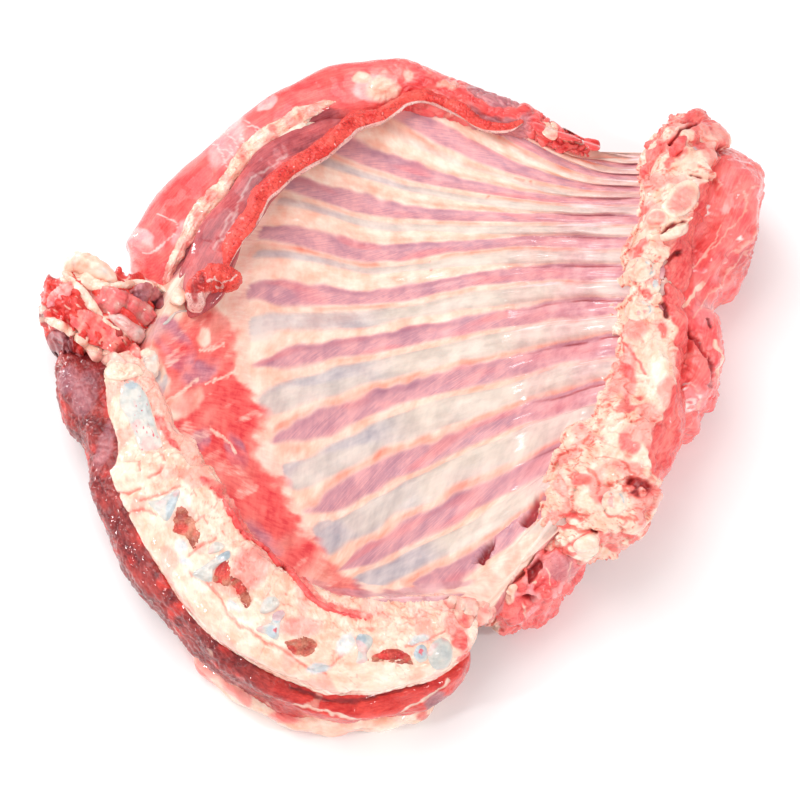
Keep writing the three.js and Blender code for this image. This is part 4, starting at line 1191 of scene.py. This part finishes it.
# %% Fat string
STRING = [
    (164, 290, 6, 4), (169, 272, 8, 5), (175, 257, 7, 5), (184, 241, 8, 6), (195, 223, 10, 6),
    (207, 206, 11, 6), (219, 191, 9, 6), (230, 177, 8, 6), (240, 164, 10, 6), (249, 154, 12, 6),
    (258, 146, 13, 6), (268, 139, 12, 6), (280, 132, 13, 6), (294, 122, 12, 5), (310, 111, 9, 5),
    (322, 106, 7, 4), (336, 102, 4, 3)]
string = cord(ground(flap_points), STRING, 360 // fine, 56 // fine, lift=-0.6)
folds, sheets = billow(string.points, 5, 100), flaps(string.flow, (16, 3, 5), 101)
height = 0.5 * (folds - 0.45) + 0.5 * (sheets - 0.5) + 1.6 * waves(string.points, 7, 102)
height += 0.2 * np.sin(string.flow[..., 1] * 1.7 + 3 * waves(string.points, 12, 102.5))  # its strands
string_points = swell(string.points, height)
piece("flap_fat_string", string_points, string.flow,
      # painted shade between its lumps and at the edges of its sheets
      {"crease": np.maximum(0.4 * ease(folds, 0.2, 0.0), 2.4 * sheets * (1 - sheets)),
       "pink": 0.7 * ease(waves(string.points, 9, 105), -0.3, 0.3),
       "pale": 0.6 * ease(waves(string.points, 10, 103), 0.1, 0.4),
       "meat": 0.6 * ease(waves(string.points, 6, 104), 0.2, 0.5)}, lamb_fat, ["flank_fat"])
print("string faces", faces_made["flap_fat_string"])

# %% The membrane between the string and the skirt
MEMBRANE = [
    [-114, 46, 45, 18, 8], [-108, 62, 46, 27, 9], [-102, 80, 47, 26, 9], [-94, 98, 48, 25, 9],
    [-83, 115, 48, 23, 9], [-71.5, 134, 48, 26, 9], [-56.5, 146.5, 47, 24, 9], [-43, 156, 46, 22, 8],
    [-29, 166, 45, 16, 6]]
sheet = lump(MEMBRANE, 220 // fine, 60 // fine, box=0.7, rough=0.02)
shown = look(sheet.points, 98)
height = 0.9 * waves(sheet.points, 12, 99) + 0.2 * waves(sheet.points, 3, 99.5)
piece("flap_membrane", swell(sheet.points, height), sheet.flow,
      {"wine": 0.75 + 0.4 * waves(sheet.flow, (20, 5, 8), 95.5),
       "skin": 0.35 * ease(waves(sheet.points, 9, 96), 0.1, 0.5), "pale": 0.4
       * strokes(shown, 3, [(223, 240), (233, 220), (243, 193), (250, 180), (270, 167), (288, 155)],
                 [(214, 250), (222, 232), (231, 212)])}, raw_muscle, [])

print("membrane faces", faces_made["flap_membrane"])

# %% Skirt ridge and its curl
SKIRT = [
    [-94, 70, 52, 6, 14], [-91, 85, 52, 9, 16], [-85, 96, 52, 10, 16], [-79.5, 107, 52, 10, 16],
    [-76, 115, 52, 9, 15], [-70, 122, 52, 10, 15], [-63, 130, 51, 10, 15], [-55, 136, 51, 9, 15],
    [-47, 142, 50, 9, 15], [-41, 147, 50, 10, 15], [-34, 155, 49, 10, 14], [-27, 162, 49, 10, 14],
    [-18, 166, 48, 9, 13], [-11, 168, 48, 8, 12], [-4, 173, 48, 7, 11], [2, 178, 48, 6.5, 11],
    [12, 181, 47, 6.5, 10], [22, 179, 46, 6.5, 10], [31, 175, 45, 6, 10], [38, 170, 45, 6, 10],
    [43, 166, 44, 5.5, 9], [51, 163, 44, 5.5, 9], [60, 163, 44, 5.5, 9], [68, 167, 44, 5, 8]]
SKIRT_CURL = [[-109, 46, 54, 9, 16], [-108, 57, 56, 10, 16], [-98, 65, 56, 11, 16], [-86, 63, 54, 10, 14]]
for name, rows, steps in (("skirt_edge", SKIRT, 560), ("skirt_curl", SKIRT_CURL, 130)):
    ridge = lump(rows, steps // fine, 64 // fine, box=0.6, tilt=-28 if rows is SKIRT else 0, rough=0.05)
    shown = look(ridge.points, 105)
    grains = billow(ridge.points, 2.0, 106)
    height = (0.45 * (grains - 0.4) + 1.6 * waves(ridge.points, 13, 107)
              + 0.7 * (flaps(ridge.points, 8, 107.5) - 0.5) + 0.5)
    squiggle = strokes(shown, 1.8, [(208, 281), (215, 277), (221, 284), (230, 281), (236, 275)],
                       [(216, 288), (223, 286)], [(193, 280), (195, 290), (191, 300)])
    membrane = ease(np.cos(ridge.turn), 0.3, 0.5) if name == "skirt_edge" else ease(shown[1], 290, 295)
    piece(name, swell(ridge.points, height * (1 - 0.7 * membrane)),
          ridge.flow, {"skin": np.maximum(squiggle, membrane),
                       "cut": np.maximum(0.8 * ease(grains, 0.35, 0.0),
                                         spots(shown, (202, 279, 4, 7, 0), (195, 290, 5, 14, 0)) * 0.8)},
          skirt_muscle, ["skirt"])

print("skirt faces", faces_made["skirt_edge"] + faces_made["skirt_curl"])

# %% [markdown]
# ## The brisket tip
# At the left end hangs a chunk of coarse brisket meat with the soft end cartilage of the breastbone. A
# glossy tendon, torn strips of muscle and cords of fat lie over it.

# %% Tip meat
BRISKET_TIP = [[-193, 48, 30, 34, 48], [-175, 51, 32, 48, 56], [-155, 48.5, 33, 50, 56],
               [-131, 43, 37, 44, 48]]
tip = lump(BRISKET_TIP, 240 // fine, 220 // fine, box=0.65, rough=0.05)
shown = look(tip.points, 110)
slant = math.radians(-38)  # its muscle strips run down to the right
fibre = np.stack([tip.points[..., 0] * math.cos(slant) + tip.points[..., 1] * math.sin(slant),
                  tip.points[..., 1] * math.cos(slant) - tip.points[..., 0] * math.sin(slant),
                  tip.points[..., 2]], axis=-1)
small_folds = billow(tip.points, 3.2, 112)
dark_side = spots(shown, (58, 345, 14, 18, -20), (76, 367, 18, 12, -35), (163, 312, 7, 10, 0))
gap = strokes(shown, 3.5, [(46, 332), (60, 356), (76, 360), (92, 368)], [(128, 309), (140, 320), (152, 326)],
              [(100, 283), (126, 290)], [(64, 330), (84, 342), (104, 350)],
              [(156, 300), (160, 312), (166, 322)])
height = (0.3 * (small_folds - 0.5) + 1.8 * waves(tip.points, 22, 113) - 1.6 * gap
          + 0.7 * waves(fibre, (30, 2, 16), 112.5))
height += 2.0 * (flaps(fibre, (36, 7, 18), 113.5) - 0.5) + 0.8 * (flaps(fibre, (26, 4, 12), 113.7) - 0.5)
height -= 2.0 * spots(shown, (112, 276, 24, 8, -20))
tip_points = swell(tip.points, height)
piece("tip_meat", tip_points, fibre,
      {"bright": ease(waves(tip.points, 18, 114), -0.6, -0.2) * (1 - dark_side),
       "mauve": np.maximum(0.5 * dark_side, 0.6 * spots(shown, (145, 292, 13, 5, 10))),
       "fat": np.maximum(np.maximum(ease(waves(fibre, (26, 3.5, 12), 115), 0.2, 0.45) * 0.8,
                                    ease(waves(fibre, (7, 1.8, 5), 119), 0.3, 0.5) * 0.7) * (1 - dark_side),
                         np.maximum(spots(shown,
                                          (120, 370, 22, 8, -5), (104, 354, 16, 5, -25), (66, 275, 6, 8, 0)),
                                    strokes(shown, 5, [(44, 320), (54, 322), (65, 328), (80, 338), (92, 347),
                                                       (108, 353)])) * ease(np.sin(tip.turn), 0.0, 0.4)),
       "cut": 0.7 * gap}, dark_muscle, ["brisket_tip"])
print("tip faces", faces_made["tip_meat"])

# %% Tip cartilage and knob
TIP_CARTILAGE = [[-181, 71, 50, 7, 14], [-172, 72, 55, 9, 20], [-162, 67, 57, 9, 20], [-151, 60, 58, 6, 12]]
TIP_KNOB = [[-135, 18, 64, 5, 6], [-130, 12, 64, 8, 8], [-130, 3, 61, 6, 6]]
for name, rows, tilt, masks, node in (
    ("tip_plate", TIP_CARTILAGE, 12, {"fat": 1.3}, "tip_cartilage"),
    ("tip_nub", TIP_KNOB, 0, {"fat": 1.0}, "tip_knob")):
    bit = lump(rows, 90 // fine, 56 // fine, box=0.7, tilt=tilt)
    height = 0.5 * waves(bit.points, 11, 116) + 0.3 * waves(bit.flow, (20, 1.8, 4), 117)
    piece(name, swell(bit.points, height), bit.flow, {key: value * (0.8 + waves(bit.points, 6, 118)) for key,
                                                      value in masks.items()}, cartilage, [node])

print("plate and knob faces", faces_made["tip_plate"] + faces_made["tip_nub"])

# %% [markdown]
# ## Cords, strips and loose lumps
# What the knife tore and left hanging lies on the larger pieces as cords and lumps of its own: fat cords
# and muscle strips on the tip, loops of membrane on the flap, the ragged red strip on the breastbone, and
# lobes on the backbone.

# %% Lines of the cords
CORDS = [  # name, material, slot, masks, rows of across, down, width and height in mm
    ("fat_cord_down", lamb_fat, "lamb_fat",
     {"pale": 0.6}, [(68, 276, 4, 3), (80, 291, 6, 4), (93, 308, 6, 4), (104, 321, 4, 3), (122, 330, 2, 2)]),
    ("fat_cord_across", lamb_fat, "lamb_fat", {"pale": 0.3},
     [(84, 282, 3, 3), (108, 287, 5, 4), (137, 284, 5, 4), (157, 287, 4, 4), (166, 292, 4, 4)]),
    ("fibred_strip", raw_muscle, "raw_muscle", {"deep": 0.3, "wine": 0.5, "fat": 0.15},
     [(88, 292, 9, 2), (108, 300, 14, 3), (128, 307, 14, 3.5), (144, 315, 12, 3.5), (154, 323, 9, 2.5)]),
    ("purple_lump", dark_muscle, "dark_muscle",
     {"mauve": 0.7}, [(131, 294, 5, 3), (143, 292, 10, 5), (154, 297, 9, 5), (162, 307, 6, 4)]),
    ("white_rim", cartilage, "cartilage",
     {"pink": 0.3}, [(163, 325, 1.5, 2), (169, 320, 1.8, 2.4), (174, 314, 1.8, 2.4),
                     (182, 311, 1.8, 2.4), (194, 312, 1.5, 2)]),
    ("cream_string", lamb_fat, "lamb_fat", {"pale": 0.4, "crease": 0.2},
     [(44, 320, 4, 3), (54, 322, 5, 3), (65, 328, 5, 3), (80, 338, 6, 3), (92, 347, 6, 3), (108, 353, 4, 2)]),
    ("red_strand_a", raw_muscle, "raw_muscle", {"deep": 0.6, "fat": 0.2},
     [(70, 312, 8, 1.5), (86, 323, 13, 2.5), (104, 334, 14, 3), (124, 346, 12, 2.5), (140, 359, 8, 1.5)]),
    ("red_strand_c", raw_muscle, "raw_muscle",
     {"deep": 0.3, "skin": 0.5}, [(46, 306, 4, 3), (56, 297, 8, 4), (66, 289, 8, 4), (74, 282, 4, 3)]),
    ("pink_fold", raw_muscle, "raw_muscle",
     {"fat": 0.6, "skin": 0.9}, [(84, 346, 4, 3), (98, 353, 9, 4), (116, 361, 7, 4), (130, 366, 3, 3)]),
    ("string_fork", lamb_fat, "lamb_fat", {"pale": 0.4},
     [(278, 140, 3, 3), (290, 134, 5, 4), (301, 128, 6, 4), (310, 125, 4, 3), (317, 123, 2, 2)]),
    ("breast_strip", raw_muscle, "raw_muscle", {"deep": 0.7},
     [(206, 484, 1.5, 2), (220, 495, 2.2, 3), (227, 507, 3, 3.5), (235, 521, 3.6, 4), (244, 535, 3, 3),
      (250, 539, 1.6, 2), (263, 547, 3.2, 4), (273, 559, 3.6, 4), (283, 568, 4, 5), (294, 576, 4.4, 5),
      (303, 588, 4, 4), (312, 599, 3.6, 4), (324, 607, 3, 4), (340, 613, 2.4, 3), (366, 620, 1.4, 2)]),
    ("chest_fold", pleura, "pleura", {"muscle": 0.4, "haze": 0.7},
     [(372, 600, 1.5, 2), (395, 600, 3, 3), (420, 600, 3.6, 3), (445, 598, 3, 3), (466, 594, 2, 2)]),
    ("chest_edge_fat", lamb_fat, "lamb_fat", {"pink": 0.6, "pale": 0.3, "meat": 0.2},
     [(442, 602, 6, 4), (457, 607, 11, 6), (472, 612, 13, 7), (486, 616, 12, 7), (496, 619, 7, 5)]),
    ("neck_membrane", raw_muscle, "raw_muscle", {"skin": 0.6, "mauve": 0.3},
     [(482, 622, 6, 4), (492, 613, 12, 6), (504, 600, 14, 6), (517, 586, 14, 6), (530, 572, 11, 5),
      (542, 559, 6, 4)])]
print("lines", len(CORDS))

# %% Lay the cords
TORN = ("breast_strip", "chest_edge_fat", "neck_membrane", "fibred_strip", "red_strand_a", "purple_lump")
bed = ground(tip_points, band_points, flap_points, wall, string_points, neck_points)
for name, material, slot, tones, rows in CORDS:
    strand = cord(bed, rows, 22 * len(rows) // fine, 32 // fine, lift=-0.12 * rows[1][3])
    height = 0.25 * (billow(strand.points, 4, 120) - 0.4) + 0.4 * waves(strand.points, 12, 121)
    if material is not lamb_fat:
        height += 0.8 * waves(strand.flow, (26, 1.5, 4), 123)  # grooves along it
    if name in TORN:
        height += 0.16 * rows[1][3] * (flaps(strand.points, (7, 5, 5), 124) - 0.5)
    piece(name, swell(strand.points, height), strand.flow,
          {key: np.clip(value + 0.5 * waves(strand.points, 4, 122), 0, 1) for key, value in tones.items()},
          material, [])
print("cords", len(CORDS))

# %% Outlines of the lumps
LUMPS = [  # name, material, slot, masks, corners in the picture, dome in mm
    ("tip_plate_fan", cartilage,
     "cartilage", {"fat": 1.3}, [(70, 266), (76, 258), (84, 256), (92, 260),
                                 (100, 268), (116, 280), (129, 285), (106, 289), (88, 290), (77, 280)], 1.6),
    ("tip_strap", cartilage, "cartilage", {"fat": 0.5, "pink": 0.6},
     [(108, 315), (122, 314), (138, 325), (153, 332), (150, 341), (141, 345), (127, 335), (115, 325)], 4.0),
    ("edge_lump",
     lamb_fat, "lamb_fat", {"meat": 0.5}, [(452, 606), (464, 604), (474, 614), (470, 628), (458, 624)], 2.2),
    ("big_lobe", lamb_fat,
     "lamb_fat", {"pink": 0.8}, [(671, 190), (678, 182), (690, 180), (699, 188), (699, 201), (692, 210),
                                 (681, 217), (668, 218), (662, 208), (666, 198)], 3.0),
    ("small_lobe", lamb_fat, "lamb_fat", {"pale": 0.8}, [(660, 236), (668, 232), (677, 224), (688, 223),
                                                         (688, 231), (678, 238), (664, 241)], 2.6),
    ("left_lobe", lamb_fat, "lamb_fat",
     {"pink": 0.8}, [(643, 217), (654, 209), (666, 212), (668, 222), (658, 228), (646, 226)], 2.2),
    ("end_knob", lamb_fat, "lamb_fat", {"pale": 0.9},
     [(573, 545), (580, 537), (592, 534), (599, 541), (598, 552), (588, 559), (577, 556)], 2.6),
    ("smooth_muscle", raw_muscle, "raw_muscle", {"deep": 0.5},
     [(669, 152), (672, 143), (681, 136), (688, 136), (685, 146), (679, 154), (671, 158)], 2.4),
    ("fat_lump", lamb_fat, "lamb_fat", {"pale": 0.5},
     [(164, 290), (172, 283), (181, 286), (186, 296), (181, 305), (171, 304), (165, 298)], 2.4),
    ("purple_lump_low", dark_muscle,
     "dark_muscle", {"mauve": 0.6}, [(47, 336), (56, 330), (68, 338), (72, 352), (62, 360), (51, 354)], 3.0),
    ("purple_lump_side", dark_muscle, "dark_muscle",
     {"mauve": 0.5}, [(60, 362), (70, 354), (84, 356), (93, 368), (88, 379), (72, 374)], 3.0),
    ("rough_fat", lamb_fat, "lamb_fat", {"pale": 0.6},
     [(97, 372), (108, 363), (124, 361), (138, 365), (144, 374), (130, 379), (112, 380)], 2.4),
    ("flap_lump_a", raw_muscle,
     "raw_muscle", {"deep": 0.9}, [(531, 122), (538, 119), (546, 124), (545, 132), (536, 131)], 2.2),
    ("flap_lump_b", lamb_fat, "lamb_fat",
     {"pale": 0.4, "meat": 0.3}, [(541, 130), (551, 124), (560, 130), (555, 140), (545, 137)], 2.2),
    ("flap_lump_c", raw_muscle, "raw_muscle",
     {"deep": 0.8}, [(555, 130), (566, 127), (578, 131), (584, 139), (572, 141), (560, 139)], 2.6),
    ("flap_lump_d", raw_muscle, "raw_muscle", {"deep": 0.9},
     [(583, 140), (592, 137), (600, 142), (599, 150), (589, 150)], 2.4)]
print("outlines", len(LUMPS))

# %% Let the lumps into the skins
bed = ground(chine_points, loin_points, neck_points, flap_points, tip_points, string_points, inner,
             band_points)
for name, material, slot, tones, corners, dome in LUMPS:
    bit = plug(bed, corners, dome, sides=56 // fine, rings=16 // fine)
    height = (0.1 * (billow(bit.points, 6, 125) - 0.4) * ease(bit.place, 1.1, 0.7)
              + 0.8 * waves(bit.points, 9, 126))
    tones = {key: np.clip(value + 0.5 * waves(bit.points, 5, 127), 0, 1) for key, value in tones.items()}
    if "pink" in tones and material is lamb_fat:  # pink lobes are paler towards their rims
        tones = {"pink": tones["pink"] * ease(bit.place, 0.95, 0.5), "pale": ease(bit.place, 0.6, 0.9)}
    piece(name, swell(bit.points, height), bit.flow, tones, material,
          ["tip_tendon"] if name == "tip_strap" else [])
print("lumps", len(LUMPS))

# %% [markdown]
# ## Faces
# The faces of all pieces are counted and printed.

# %% Count the faces and finish
print("faces", sum(faces_made.values()), faces_made)
